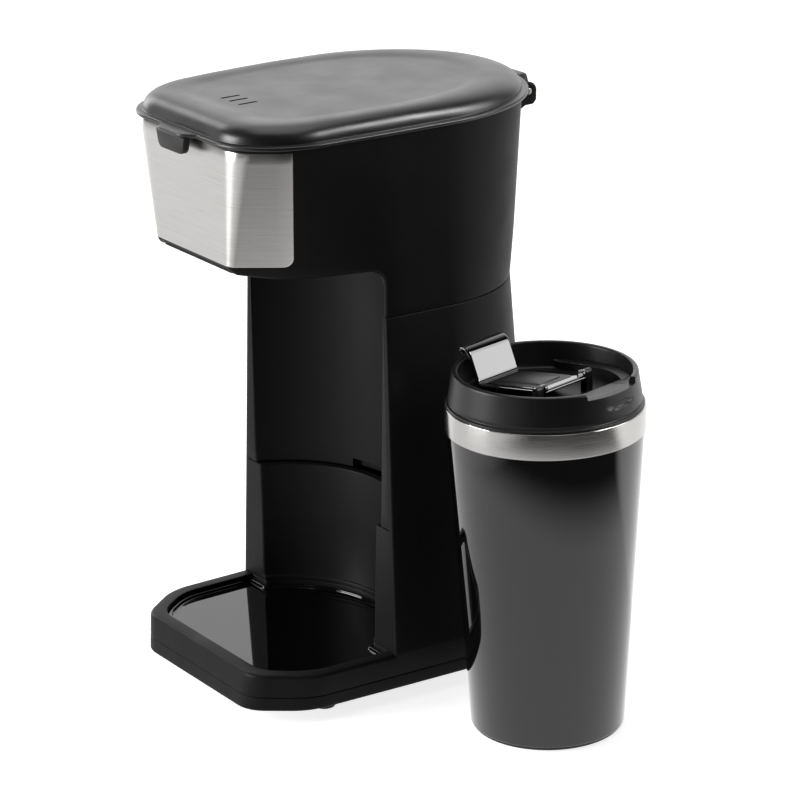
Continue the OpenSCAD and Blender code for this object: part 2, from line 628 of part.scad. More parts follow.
// Side view of the flap: thumb tab over the rear rim and tongue down to the hinge, above the rim top
flap_side = [[-44.6, -4], [-44.6, 1.5], [-43, 4.5], [-38.5, 6.2], [-34.4, 5.6], [-32.6, 3.8], [-25.6, -8.2], [-22, -8.8],
    [pin_u + 1.4, -1.9], [pin_u + 1.4, -3.9], [-22.5, -10.8], [-26.6, -10.4], [-27.7, -9], [-34.4, 2.8], [-35.6, 3.8],
    [-38.4, 4.2], [-41.8, 2.8], [-42.8, 1], [-42.8, -4]];

// Glossy flap with its thumb tab, hinged in front of the drinking hole
module mug_flap() color("#0d0d0e") at_mug(drink_turn) difference() {
    union() {
        translate([0, 13.5, mug_top]) rotate([90, 0, 0]) linear_extrude(height = 27) polygon(flap_side);
        translate([pin_u, 0, pin_z]) rotate([90, 0, 0]) cylinder(r = 2.3, h = 27, center = true, $fn = 48);
    }
    translate([pin_u, 0, pin_z]) rotate([90, 0, 0]) cylinder(r = flap_pin_r + run_gap, h = 40, center = true, $fn = 48);
}

module flap_pin() color("#8d8d8d") at_mug(drink_turn) translate([pin_u, 0, pin_z]) rotate([90, 0, 0])
    cylinder(r = flap_pin_r, h = 36.6, center = true, $fn = 32);

// Soft plug under the flap that closes the drinking hole
module flap_stopper() color("#303030") at_mug(drink_turn) translate([hole_u, 0, lid_floor + 0.3]) {
    cylinder(r = 7.5, h = 4, $fn = 48);
    translate([0, 0, -1.4]) cylinder(r1 = 4, r2 = 4.6, h = 1.41, $fn = 48);
}

base_plate();
feet();
base_screws();
lower_housing();
column_shell();
drip_tray();
column_front_lower();
column_front_upper();
upper_housing();
front_panel();
reservoir();
filter_holder();
filter_mesh();
outlet_spout();
lid();
lid_catch();
lid_liner();
shower_plate();
hinge_pin();
heater_tube();
heater_element();
heater_bracket();
thermostat();
thermal_fuse();
feed_hose();
check_valve();
valve_hose();
riser_hose();
hose_clamps();
power_button();
switch_body();
terminal_block();
cord_bushing();
mug_shell();
mug_liner();
mug_band();
mug_foot();
mug_lid();
mug_seal();
mug_flap();
flap_pin();
flap_stopper();
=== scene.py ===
import bmesh
import bpy
import numpy as np
from mathutils import Matrix


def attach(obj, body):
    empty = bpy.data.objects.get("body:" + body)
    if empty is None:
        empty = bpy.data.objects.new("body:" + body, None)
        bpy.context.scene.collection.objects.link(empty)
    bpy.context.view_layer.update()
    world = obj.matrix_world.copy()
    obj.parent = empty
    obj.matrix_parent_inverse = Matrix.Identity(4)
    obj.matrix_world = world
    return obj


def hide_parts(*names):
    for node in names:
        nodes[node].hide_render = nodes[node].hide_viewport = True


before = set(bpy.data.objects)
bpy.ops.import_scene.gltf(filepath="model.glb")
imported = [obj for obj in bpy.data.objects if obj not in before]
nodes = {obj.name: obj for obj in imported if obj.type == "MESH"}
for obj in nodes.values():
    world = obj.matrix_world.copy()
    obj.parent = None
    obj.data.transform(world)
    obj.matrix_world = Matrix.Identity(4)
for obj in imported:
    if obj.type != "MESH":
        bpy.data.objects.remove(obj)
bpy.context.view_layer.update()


# ---- Base plate and feet --------------------------------------------------
# The machine stands on five tapered rubber feet, pushed into a moulded ABS
# floor that is screwed up into the base. Only the feet show, in shadow.

def srgb(code):
    """Linear colour of an sRGB hex code: the screen curve undone, channel by channel."""
    value = np.array([int(code[i:i + 2], 16) for i in (0, 2, 4)]) / 255
    linear = np.where(value <= 0.04045, value / 12.92, ((value + 0.055) / 1.055) ** 2.4)
    return (*linear.tolist(), 1.0)


def put(tree, kind, sockets=None, **settings):
    """Adds a node, sets its properties, and gives each named socket a value or a link."""
    node = tree.nodes.new(kind)
    for key, value in settings.items():
        setattr(node, key, value)
    for socket, value in (sockets or {}).items():
        if isinstance(value, bpy.types.NodeSocket):
            tree.links.new(value, node.inputs[socket])
        else:
            node.inputs[socket].default_value = value
    return node


def blank_finish(name, **sockets):
    """A material holding one Principled shader with its plain sockets set."""
    made = bpy.data.materials.new(name)
    made.use_nodes = True
    tree = made.node_tree
    tree.nodes.clear()
    shader = put(tree, "ShaderNodeBsdfPrincipled", {k.replace("_", " "): v for k, v in sockets.items()})
    put(tree, "ShaderNodeOutputMaterial", {"Surface": shader.outputs[0]})
    return made, tree, shader


def mottled(name, light, dark, grain_mm, depth_mm, rough, drift_mm=18, **sockets):
    """A moulded or cast finish: fine grain as bump, and slow drift in colour and roughness.

    The grain is noise whose cell is grain_mm across and depth_mm deep; the drift is
    noise drift_mm across that blends the two colours and the two roughnesses."""
    made, tree, shader = blank_finish(name, **sockets)
    place = put(tree, "ShaderNodeTexCoord").outputs["Object"]
    fine = put(tree, "ShaderNodeTexNoise", {"Vector": place, "Scale": 1000 / grain_mm, "Detail": 2.0})
    slow = put(tree, "ShaderNodeTexNoise", {"Vector": place, "Scale": 1000 / drift_mm, "Detail": 4.0})
    colour = put(tree, "ShaderNodeMix", {"Factor": slow.outputs[0], "A": srgb(light), "B": srgb(dark)},
                 data_type="RGBA")
    tree.links.new(colour.outputs["Result"], shader.inputs["Base Color"])
    spread = put(tree, "ShaderNodeMapRange", {"Value": slow.outputs[0], "From Min": 0.3, "From Max": 0.7,
                                              "To Min": rough[0], "To Max": rough[1]})
    tree.links.new(spread.outputs[0], shader.inputs["Roughness"])
    bump = put(tree, "ShaderNodeBump", {"Height": fine.outputs[0], "Strength": 0.5, "Distance": depth_mm / 1000})
    tree.links.new(bump.outputs[0], shader.inputs["Normal"])
    return made


def dress(finish, *names):
    """Gives CAD nodes a finish in place of their plain one."""
    for name in names:
        nodes[name].data.materials.clear()
        nodes[name].data.materials.append(finish)


# Moulded nitrile rubber: matt, slightly dusty black
foot_rubber = mottled("moulded rubber, matt", "1c1b1a", "141413", 1.2, 0.03, (0.7, 0.85), IOR=1.52)
# Moulded ABS with a spark-eroded texture: the tool's fine grain breaks up every reflection
textured_abs = mottled("black ABS, spark-eroded texture", "191818", "141415", 0.9, 0.02, (0.42, 0.5),
                       IOR=1.53, Specular_IOR_Level=0.09)
dress(textured_abs, "base_plate")

DATUM = np.array([-49.4, 13.85, 0.0])


def piece(name, grids, body, finish, edge=35):
    """One piece from point grids in machine millimetres.

    Four neighbours of a grid become a quad, and grids join where their borders meet."""
    quads, base = [], 0
    for grid in grids:
        rows, columns = grid.shape[:2]
        at = base + np.arange(rows * columns).reshape(rows, columns)
        quads.append(np.stack([at[:-1, :-1], at[:-1, 1:], at[1:, 1:], at[1:, :-1]], -1).reshape(-1, 4))
        base += rows * columns
    points = (np.vstack([grid.reshape(-1, 3) for grid in grids]) + DATUM) / 1000
    mesh = bpy.data.meshes.new(name)
    mesh.from_pydata(points.tolist(), [], np.vstack(quads).tolist())
    work = bmesh.new()
    work.from_mesh(mesh)
    bmesh.ops.remove_doubles(work, verts=work.verts, dist=1.2e-5)
    bmesh.ops.recalc_face_normals(work, faces=work.faces)
    work.to_mesh(mesh)
    work.free()
    mesh.shade_smooth()
    mesh.set_sharp_from_angle(angle=np.radians(edge))
    mesh.materials.append(finish)
    made = bpy.data.objects.new(name, mesh)
    bpy.context.scene.collection.objects.link(made)
    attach(made, body)
    return made


def eased(corners, cut, steps=4):
    """A line with its inner corners eased.

    Each corner is cut back by its length both ways and bridged by a quadratic curve."""
    p = np.array(corners, float)
    cut = np.broadcast_to(np.asarray(cut, float), len(p) - 2)[:, None, None]
    corner, before, after = p[1:-1, None], p[:-2, None] - p[1:-1, None], p[2:, None] - p[1:-1, None]
    start = corner + cut * before / np.linalg.norm(before, axis=-1, keepdims=True)
    end = corner + cut * after / np.linalg.norm(after, axis=-1, keepdims=True)
    t = np.linspace(0, 1, steps + 1)[:, None]
    curve = (1 - t) ** 2 * start + 2 * t * (1 - t) * corner + t ** 2 * end
    return np.vstack([p[:1], curve.reshape(-1, p.shape[1]), p[-1:]])


def turned(profile, centre=(0, 0), steps=96):
    """Surface of revolution: each (radius, height) is carried once round the upright line through centre."""
    angle = np.linspace(0, 2 * np.pi, steps + 1)
    r, z = np.array(profile, float).T[:, :, None]
    return np.stack([centre[0] + r * np.cos(angle), centre[1] + r * np.sin(angle), z + 0 * angle], -1)


foot_profile = eased([(0, 0), (5, 0), (6.5, 6.3), (0, 6.3)], (0.9, 0.3))
foot_spots = ((0, -88), (-48, -66), (48, -66), (-42, 42), (42, 42))
feet = piece("feet", [turned(foot_profile, spot, 48) for spot in foot_spots], "machine", foot_rubber)
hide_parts("feet")


# ---- Base and column shell ------------------------------------------------
# One black ABS moulding: the base with its rim and the well for the tray, and
# the outer shell of the column up to the seam. Textured tool, eased edges.

BASE_TOP, SEAM_Z, ARCH_Z, RIM_Z = 23.8, 182.5, 204.2, 265.6
LEVELS = np.array([6.3, BASE_TOP, SEAM_Z, ARCH_Z, RIM_Z])
PLANS = np.array([[45.2, 62.7, -105.8, 23.1, 64.5, 65.5, 71.2],
                  [47.1, 65.1, -103.6, 23.3, 66.0, 67.0, 72.0],
                  [27.0, 46.0, -96.9, 24.0, 59.9, 60.6, 60.9],
                  [30.7, 48.6, -97.8, 23.5, 59.9, 60.7, 63.9],
                  [41.5, 58.5, -99.7, 20.1, 60.7, 61.2, 70.0]])
THINNER = np.array([0.49, 1, -1, 0.66, 1, 1, 1])
BAY_Y = -57.75


def skin(s, z, t=0.0, soft=False):
    """Points on the body: s along the outline, z up, t mm inwards.

    The seven plan sizes at z lie on straight lines between the plans at the levels. s
    runs 0 to 8 from the middle of the front to the middle of the back, and minus for the
    left: flat, corner, chamfer, corner, side, corner, side, then a quarter of an ellipse.
    A corner is a quadratic curve from so many mm before it to as much after it: 8, 9 and
    10 mm, with the first down to 2.5 mm at the head's lower edge, or, when soft, half the
    chamfer's length at both of its ends."""
    s, z, t = np.broadcast_arrays(np.asarray(s, float), z, t)
    size = np.stack([np.interp(z, LEVELS, column) for column in PLANS.T])
    size = size - THINNER.reshape((7,) + (1,) * z.ndim) * t
    flat, half, front, chamfer, arm, widest, rear = size
    none = 0 * z
    corner = np.stack([np.stack(pair, -1) for pair in (
        (none, front), (flat, front), (half, front + chamfer), (arm, none - 35), (widest, none))])
    way = np.diff(corner, axis=0)
    way = way / np.linalg.norm(way, axis=-1, keepdims=True)
    cut = np.stack([np.interp(z, [BASE_TOP, ARCH_Z, RIM_Z], [8, 2.5, 8]), 9 + 0 * z, 10 + 0 * z])[..., None]
    if soft:
        cut[:2] = 0.495 * np.linalg.norm(corner[2] - corner[1], axis=-1)[..., None]
    before, after = corner[1:4] - cut * way[:3], corner[1:4] + cut * way[1:]
    start = np.stack([corner[0], before[0], after[0], before[1], after[1], before[2], after[2]])
    end = np.stack([before[0], after[0], before[1], after[1], before[2], after[2], corner[4]])
    turn = (start + end) / 2
    turn[1:6:2] = corner[1:4]
    run = np.clip(np.abs(s), 0, 8)
    leg = np.minimum(run.astype(int), 6)
    f = np.clip(run - leg, 0, 1)[..., None]
    a, b, c = (np.take_along_axis(k, leg[None, ..., None], 0)[0] for k in (start, turn, end))
    straight = (1 - f) ** 2 * a + 2 * f * (1 - f) * b + f ** 2 * c
    angle = np.clip(run - 7, 0, 1) * np.pi / 2
    back = np.stack([widest * np.cos(angle), rear * np.sin(angle)], -1)
    x, y = np.moveaxis(np.where((run > 7)[..., None], back, straight), -1, 0)
    return np.stack([np.where(s < 0, -x, x), y, z + none], -1)


def tip(z):
    """Depth of the face that ends the column's arms: it leans back a little with height."""
    return -38.1 + 3.4 * (z - BASE_TOP) / 158.7


def station(y, z, t=0.0):
    """Where along the outline it crosses the depth y at height z, read off a finely divided outline."""
    y, z, t = np.broadcast_arrays(np.asarray(y, float), z, t)
    fine = np.linspace(2, 7, 500)
    depth = skin(fine, z.reshape(-1, 1), t.reshape(-1, 1))[..., 1]
    found = [np.interp(a, row, fine) for a, row in zip(y.ravel(), depth)]
    return np.array(found).reshape(y.shape)


def blendings(a, b, count):
    """Columns spaced evenly from a to b, row by row."""
    return a[:, None] + (b - a)[:, None] * np.linspace(0, 1, count)


def all_round(s, t):
    """Right half of the columns carried over the back to the left."""
    return np.concatenate([s, -s[:, ::-1]], 1), np.concatenate([t, t[:, ::-1]], 1)


def armed(t, z, reach=2.65, radius=0.7, count=46):
    """Wall of the column for rows of inset t and height z: end face of an arm, its rounded edge, side and back."""
    turn = np.linspace(0, np.pi / 2, 5)
    inset = np.maximum(np.concatenate([[reach], radius * (1 - np.sin(turn))]), t[:, None])
    ahead = tip(z)[:, None] + np.concatenate([[0], radius * (1 - np.cos(turn))])
    s = station(ahead, z[:, None] + 0 * inset, inset)
    side = blendings(s[:, -1], 8 + 0 * z, count)[:, 1:]
    s, t = all_round(np.hstack([s, side]), np.hstack([inset, t[:, None] + 0 * side]))
    return skin(s, z[:, None], t)


# Side view of the base as inset and height: underside, groove over the floor's edge, rim, well
base_side = eased([(6, 6.3), (0, 6.3), (0, 12.7), (0.4, 12.95), (0.4, 13.15), (0, 13.4), (0, BASE_TOP),
                   (7, BASE_TOP), (7, 18)], (1.3, 0.08, 0.08, 0.08, 0.08, 1.8, 0.7))
t, z = base_side.T
rim_front = station(-38.1 + 0 * z, np.where(t > 5, BASE_TOP, z), t)
base_front = skin(blendings(-rim_front, rim_front, 121), np.where(t > 5, BASE_TOP, z)[:, None], t[:, None])
base_front[..., 2] = z[:, None]
low = z <= 22.01
low[np.argmax(z > 22.01):] = False
behind = blendings(rim_front[low], 8 + 0 * z[low], 51)
s, inset = all_round(behind, 0 * behind + t[low, None])
base_back = skin(s, z[low][:, None], inset)
t, z = eased([(0, 21.9), (0, BASE_TOP), (0, 100), (0, 182.2), (2.5, 182.2), (2.5, 24)], (1.5, 20, 0.4, 0.6)).T
column_shell = armed(t, z)


def well(inset, z, front=7.0):
    """Closed outline of the tray's well at height z, shrunk by inset.

    It follows the body's outline front mm inside it, runs straight across at the arms, and
    ends in an arc about the cup's centre line round the back."""
    plane, radius = -38.1 - inset, 50.8 - inset
    edge = station(plane, BASE_TOP, front + inset)
    ahead = skin(np.linspace(-1, 1, 121) * edge, BASE_TOP, front + inset)[:, :2]
    corner = np.sqrt(radius ** 2 - (plane - BAY_Y) ** 2)
    begin = np.arctan2(plane - BAY_Y, corner)
    angle = np.linspace(begin + 0.03, np.pi - begin - 0.03, 61)
    arc = np.stack([radius * np.cos(angle), BAY_Y + radius * np.sin(angle)], -1)
    step = eased([(ahead[-1, 0], plane), (corner, plane), arc[0]], 1.2)
    outline = np.vstack([ahead, step[1:], arc[1:-1], step[::-1] * [-1, 1]])
    outline[-1] = outline[0]
    return np.column_stack([outline, np.full(len(outline), z)])


def shrunk(outline, centre, steps, z=None):
    """Rows that close an outline: it shrinks straight to a centre by the given shares."""
    middle = np.array([*centre, outline[0, 2] if z is None else z])
    return middle + (outline - middle) * np.array(steps)[:, None, None]


well_side = eased([(-1.6, BASE_TOP), (0, BASE_TOP), (0, 18)], 0.7)
rim_wall = np.stack([well(*row) for row in well_side])[:, 120:]
well_floor = shrunk(well(0, 18), (0, BAY_Y), (1, 0.5, 0))
lower_housing = piece("base_and_column", [base_front, base_back, column_shell, rim_wall, well_floor],
                      "machine", textured_abs)
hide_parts("lower_housing", "column_shell")


# ---- Drip tray -------------------------------------------------------------
# A loose shallow tray lying in the well, injection moulded in polished ABS, so
# it mirrors the column and the room. It lifts straight out.

# Polished black ABS: a hard, wet-looking skin with the faintest moulding waves
polished_abs = mottled("black ABS, polished", "070708", "050506", 14, 0.004, (0.03, 0.055), IOR=1.5)

tray_side = eased([(0.3, 18), (0.3, 21.8), (1.9, 21.8), (1.9, 20.4), (4, 20.4)], (0.5, 0.5, 0.9), 4)
tray_wall = np.stack([well(*row) for row in tray_side])
drip_tray = piece("drip_tray", [shrunk(tray_wall[0], (0, BAY_Y), (0, 0.5, 1)), tray_wall,
                                shrunk(tray_wall[-1], (0, BAY_Y), (1, 0.5, 0))],
                  "tray", polished_abs)
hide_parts("drip_tray")


# ---- Column fronts ---------------------------------------------------------
# Two black ABS mouldings clipped between the arms of the column: the lower one
# stands a little proud, ends in a ledge, and has a bead along its foot. The
# upper one has a shallow recess in the middle, over the ledge.

def bay_wall(side, base_radius, dent=None):
    """Concave wall of the cup bay with its end faces.

    Each row of side is (set-back of the arc, set-back of the end face, height). A row runs
    across the end face, round the arm's inner edge on a quadratic curve, then along an arc
    about the cup's centre line; the left half mirrors it. A dent (from, top, depth) sets
    the arc back around the middle, from a share of the half arc on, below a height."""
    back, behind, z = np.array(side, float).T
    radius, plane = base_radius(z) + back, tip(z) + behind
    across = np.sqrt(radius ** 2 - (plane - BAY_Y) ** 2)
    outer = skin(station(plane, z, 2.62), z, 2.62)[:, 0]
    shoulder = np.minimum(across + 1, outer - 0.05)
    first = np.arctan2(plane - BAY_Y, across) + 1 / radius
    angle = blendings(first, np.pi / 2 + 0 * z, 32)
    if dent is not None:
        begin, top, depth = dent
        share = np.unique(np.concatenate([np.linspace(0, 1, 30), [begin, begin + 0.002]]))
        angle = first[:, None] + (np.pi / 2 - first)[:, None] * share
        radius = radius[:, None] + depth * (share > begin + 0.001) * (z < top)[:, None]
    else:
        radius = radius[:, None] + 0 * angle
    arc = np.stack([radius * np.cos(angle), BAY_Y + radius * np.sin(angle)], -1)
    f = np.linspace(0, 1, 6)[:, None]
    a, b, c = np.stack([shoulder, plane], -1)[:, None], np.stack([across, plane], -1)[:, None], arc[:, :1]
    edge = (1 - f) ** 2 * a + 2 * f * (1 - f) * b + f ** 2 * c
    half = np.concatenate([np.stack([outer, plane], -1)[:, None], edge, arc[:, 1:]], 1)
    half = np.concatenate([half, z[:, None, None] + 0 * half[..., :1]], -1)
    return np.concatenate([half, half[:, ::-1] * [-1, 1, 1]], 1)


lower_side = eased([(2.4, 2.4, 23.85), (0.05, 0, 23.85), (0.05, 0, 25.9), (0.9, 0, 26.15), (0, 0, 60), (0, 0, 82),
                    (3.9, 2.4, 82), (2.4, 2.4, 79), (2.4, 2.4, 23.85)], (0.4, 0.5, 0.25, 8, 0.7, 0.3, 1))
front_lower = piece("column_front_lower", [bay_wall(lower_side, lambda z: 51 + 3.2 * (z - BASE_TOP) / 58.2)],
                    "machine", textured_abs)
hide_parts("column_front_lower")
upper_side = eased([(2.4, 2.4, 82.5), (0, 0, 82.5), (0, 0, 86.8), (0, 0, 86.82), (0, 0, 204.1), (2.4, 2.4, 204.1),
                    (2.4, 2.4, 82.5)], (0.5, 0.005, 0.005, 0.3, 0.3))
front_upper = piece("column_front_upper", [bay_wall(upper_side, lambda z: 57.6 + 4.4 * (z - 82) / 122.2,
                                                    (0.7, 86.81, 3.5))],
                    "machine", textured_abs)
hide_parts("column_front_upper")


# ---- Upper housing ---------------------------------------------------------
# The head and the top of the column are one black ABS moulding, open at the
# top. Its lower edge is rolled and sweeps in a fillet down into the arms.

bend_y, bend_z, fillet = tip(197.2) - 7, 197.2, 7.0
turn = np.linspace(0, np.pi / 2, 10)[1:]
leg_z = np.linspace(197.2, SEAM_Z, 7)[1:]
seam_from = station(tip(SEAM_Z) + 1.4, SEAM_Z)
ahead_s = np.linspace(0, station(bend_y, ARCH_Z), 61)
seam_s = np.linspace(seam_from, 8, 46)
edge_y = np.concatenate([bend_y + fillet * np.sin(turn), tip(leg_z)])
edge_z = np.concatenate([bend_z + fillet * np.cos(turn), leg_z])
out_y = np.concatenate([-np.sin(turn), -1 + 0 * leg_z])
out_z = np.concatenate([-np.cos(turn), 0 * leg_z])
roll = np.concatenate([np.linspace(2.0, 1.1, len(turn)), 1.1 + 0 * leg_z])
lip_z = np.interp(ahead_s, [0, 1, 1.5, 2, 3, 4], [209.2, 209.2, 208.0, 206.6, 204.7, ARCH_Z])
out_z[-1], out_y[-1] = -0.4, -0.9


def lower_edge(share, inset, ahead=None):
    """One row near the lower edge: share of each column's roll radius back from the edge, inset as a share of it."""
    s_front = ahead_s
    arm_t = roll * inset if ahead is None else ahead + 0 * roll
    y, z = edge_y - out_y * roll * share, edge_z - out_z * roll * share
    s = np.concatenate([s_front, station(y, z, arm_t), seam_s])
    height = np.concatenate([lip_z + 2.0 * share, z, SEAM_Z + 0.4 * share + 0 * seam_s])
    t = np.concatenate([2.0 * inset + 0 * s_front if ahead is None else ahead + 0 * s_front, arm_t,
                        0.4 * inset + 0 * seam_s if ahead is None else ahead + 0 * seam_s])
    return s, height, t


b = np.linspace(0, np.pi / 2, 6)
rows = [lower_edge(1 - np.cos(a), 1 - np.sin(a)) for a in b]
rows.insert(0, lower_edge(0, 0, 2.65))
s, z, t = (np.array(k) for k in zip(*rows))
top_s = np.concatenate([ahead_s, np.linspace(ahead_s[-1], seam_from + 0.4, len(edge_y) + 1)[1:],
                        np.linspace(seam_from + 0.4, 8, 47)[1:]])
share = np.linspace(0, 1, 15)[1:, None]
s = np.vstack([s, s[-1] + (top_s - s[-1]) * share])
z = np.vstack([z, z[-1] + (264.8 - z[-1]) * share])
t = np.vstack([t, 0 * top_s * share])
rim = eased([(0, 264.9), (0, RIM_Z), (2.5, RIM_Z), (2.5, 262), (2.5, 207)], (0.6, 0.4, 1))
s = np.vstack([s, top_s + 0 * rim[:, :1]])
z = np.vstack([z, 0 * top_s + rim[:, 1:]])
t = np.vstack([t, 0 * top_s + rim[:, :1]])
s, t = all_round(s, t)
head_wall = skin(s, np.hstack([z, z[:, ::-1]]), t)

# Inside faces of the fillet and the arms, and the flat underside round the outlet
n = len(ahead_s) + len(turn)
inner = head_wall[0, :len(top_s)]
lifted = inner.copy()
lifted[:n, 2] = ARCH_Z
lifted[:len(ahead_s), :2] += (np.array([0, BAY_Y]) - lifted[:len(ahead_s), :2]) * (lip_z - ARCH_Z)[:, None] * 0.055
lifted[n:, 1] += 2.3
arm_inside = np.stack([inner, lifted])
first = np.arctan2(tip(ARCH_Z) - BAY_Y, np.sqrt(62.1 ** 2 - (tip(ARCH_Z) - BAY_Y) ** 2))
angle = np.linspace(first, np.pi / 2, 40)
arc = np.column_stack([62.1 * np.cos(angle), BAY_Y + 62.1 * np.sin(angle), ARCH_Z + 0 * angle])
loop = np.vstack([lifted[:n], arc])
angle = np.arctan2(loop[:, 1] - BAY_Y, loop[:, 0])
hole = np.column_stack([11.3 * np.cos(angle), BAY_Y + 11.3 * np.sin(angle), loop[:, 2]])
underside = loop + (hole - loop) * np.array([0, 0.3, 0.9, 0.97, 1])[:, None, None]
collar = np.stack([hole, hole + [0, 0, 2.5]])
right_side = [arm_inside, underside, collar]
upper_housing = piece("upper_housing", [head_wall] + right_side + [k[:, ::-1] * [-1, 1, 1] for k in right_side],
                      "machine", textured_abs)
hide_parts("upper_housing")


def slab(outline, low, high, ease, order=(0, 1, 2), hole=None):
    """A closed outline carried from low to high along a third direction, both rims eased towards its middle.

    With a hole (centre, radius, depth) each face has a blind round recess: its ring is
    taken at the same angles as the outline's points."""
    outline = np.array(outline, float)
    outline = np.vstack([outline, outline[:1]])
    middle = outline[:-1].mean(0) if hole is None else np.array(hole[0], float)
    size = np.linalg.norm(outline - middle, axis=1, keepdims=True)
    towards = (middle - outline) / size
    turn = np.linspace(0, np.pi / 2, 4)
    inset, rise = ease * (1 - np.sin(turn)), ease * (1 - np.cos(turn))
    rows = [np.column_stack([outline + towards * i, np.full(len(outline), low + r)]) for i, r in zip(inset, rise)]
    rows += [row * [1, 1, -1] + [0, 0, low + high] for row in rows[::-1]]
    if hole is None:
        ends = [np.column_stack([0 * outline + middle, np.full(len(outline), h)]) for h in (low, high)]
        rows = [ends[0]] + rows + [ends[1]]
    else:
        for h, step in ((low, 1), (high, -1)):
            rings = [np.column_stack([middle - towards * r, np.full(len(outline), h + step * d)])
                     for r, d in ((0, hole[2]), (hole[1], hole[2]), (hole[1], 0.15), (hole[1] + 0.2, 0))]
            rows = rings + rows if step > 0 else rows + rings[::-1]
    return np.stack(rows)[..., np.argsort(order)]


HINGE_Y, HINGE_Z = 76, 259.7
ear_turn = np.radians(np.linspace(-12, 100, 20))
ear_outline = np.vstack([[(65.2, 250.0), (68.4, 250.3), (73.6, 253.2), (78.4, 253.4), (80.1, 255.2)],
                         np.column_stack([HINGE_Y + 4.3 * np.cos(ear_turn), HINGE_Z + 4.3 * np.sin(ear_turn)]),
                         [(71, 263.2), (65.2, 261.7)]])
pin_hole = ((HINGE_Y, HINGE_Z), 1.9, 1.2)
piece("hinge_ears", [slab(ear_outline, x - 2, x + 2, 0.5, (1, 2, 0), pin_hole) for x in (-13, 13)],
      "machine", textured_abs)


# ---- Steel front panel -----------------------------------------------------
# A thin stainless sheet bent over the front and both chamfers of the head,
# bonded on. Its lower corners are radiused, its edge is broken.

# Stainless steel, brushed level: grain lines along the belt, so it shines in soft level streaks.
# The lines are 17 and 45 mm long and 0.24 and 0.6 mm wide, coarser than a real belt's, so that they show
brushed_steel, tree, shader = blank_finish("stainless steel, brushed level", Metallic=1.0, Anisotropic=0.7,
                                           Anisotropic_Rotation=0.25)
tree.links.new(put(tree, "ShaderNodeTangent", direction_type="RADIAL", axis="Z").outputs[0], shader.inputs["Tangent"])
place = put(tree, "ShaderNodeTexCoord").outputs["Object"]
lines = [put(tree, "ShaderNodeTexNoise", {
    "Vector": put(tree, "ShaderNodeMapping", {"Vector": place, "Scale": (along, along, across)}).outputs[0],
    "Scale": 1.0, "Detail": 3.0, "Roughness": 0.6}).outputs[0] for along, across in ((60, 4200), (22, 1700))]
both = put(tree, "ShaderNodeMix", {"Factor": 0.4, "A": lines[0], "B": lines[1]}, data_type="FLOAT").outputs[0]
tone = put(tree, "ShaderNodeMapRange", {"Value": both, "From Min": 0.3, "From Max": 0.7})
colour = put(tree, "ShaderNodeMix", {"Factor": tone.outputs[0], "A": srgb("b9b7b5"), "B": srgb("cfcdcb")},
             data_type="RGBA")
tree.links.new(colour.outputs["Result"], shader.inputs["Base Color"])
rough = put(tree, "ShaderNodeMapRange", {"Value": both, "From Min": 0.3, "From Max": 0.7,
                                         "To Min": 0.26, "To Max": 0.38})
tree.links.new(rough.outputs[0], shader.inputs["Roughness"])
bump = put(tree, "ShaderNodeBump", {"Height": both, "Strength": 0.6, "Distance": 0.00004})
tree.links.new(bump.outputs[0], shader.inputs["Normal"])

low_z, corner = 210.8, 4.0
rise = np.concatenate([[0, 0], [0.2, 0.45, 0.8, 1.3, 2, 3, 4], np.linspace(8, 53.4, 10), [53.6, 53.6]])
z = low_z + rise
row_t = np.concatenate([[0.5, -0.1, -0.25], np.full(len(z) - 5, -0.25), [-0.1, 0.5]])
gone = corner - np.sqrt(corner ** 2 - np.clip(corner - rise, 0, corner) ** 2)
half_width = station(-75.3 - 4.0 * rise / 53.6 - gone, z, 0 * z)
u = np.concatenate([[-1, -1], np.linspace(-0.995, 0.995, 121), [1, 1]])
column_t = np.concatenate([[0.5, -0.1], np.full(121, -0.25), [-0.1, 0.5]])
panel = skin(half_width[:, None] * u, z[:, None], np.maximum(row_t[:, None], column_t))
front_panel = piece("front_panel", [panel], "machine", brushed_steel, 50)
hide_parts("front_panel")


# ---- Lid -------------------------------------------------------------------
# One satin ABS moulding: a flange over the head's rim, a domed wall up to a soft
# crest, and a plateau with three vents. Its tab and knuckle are part of it.

# Moulded ABS, satin: a finer texture than the body's, so the crest shines
satin_abs = mottled("black ABS, satin", "181717", "131313", 0.6, 0.012, (0.3, 0.37), IOR=1.53)


def crest(s):
    """Distance from the lid's wall in to its crest: 11 mm in front, less along the sides, 16 mm behind."""
    return np.interp(np.abs(s), [0, 3.6, 4.6, 6.2, 7, 7.5, 8], [11, 11, 8.6, 8.4, 10.5, 15, 16])


lid_s = np.concatenate([np.linspace(-8, -4, 90), np.linspace(-4, 4, 241)[1:-1], np.linspace(4, 8, 90)])


def lid_ring(inset, height):
    """The outline of the head's rim all the way round from the middle of the back, inset, laid at a height."""
    return skin(lid_s, RIM_Z, inset, True)[None] * [1, 1, 0] + [0, 0, height]


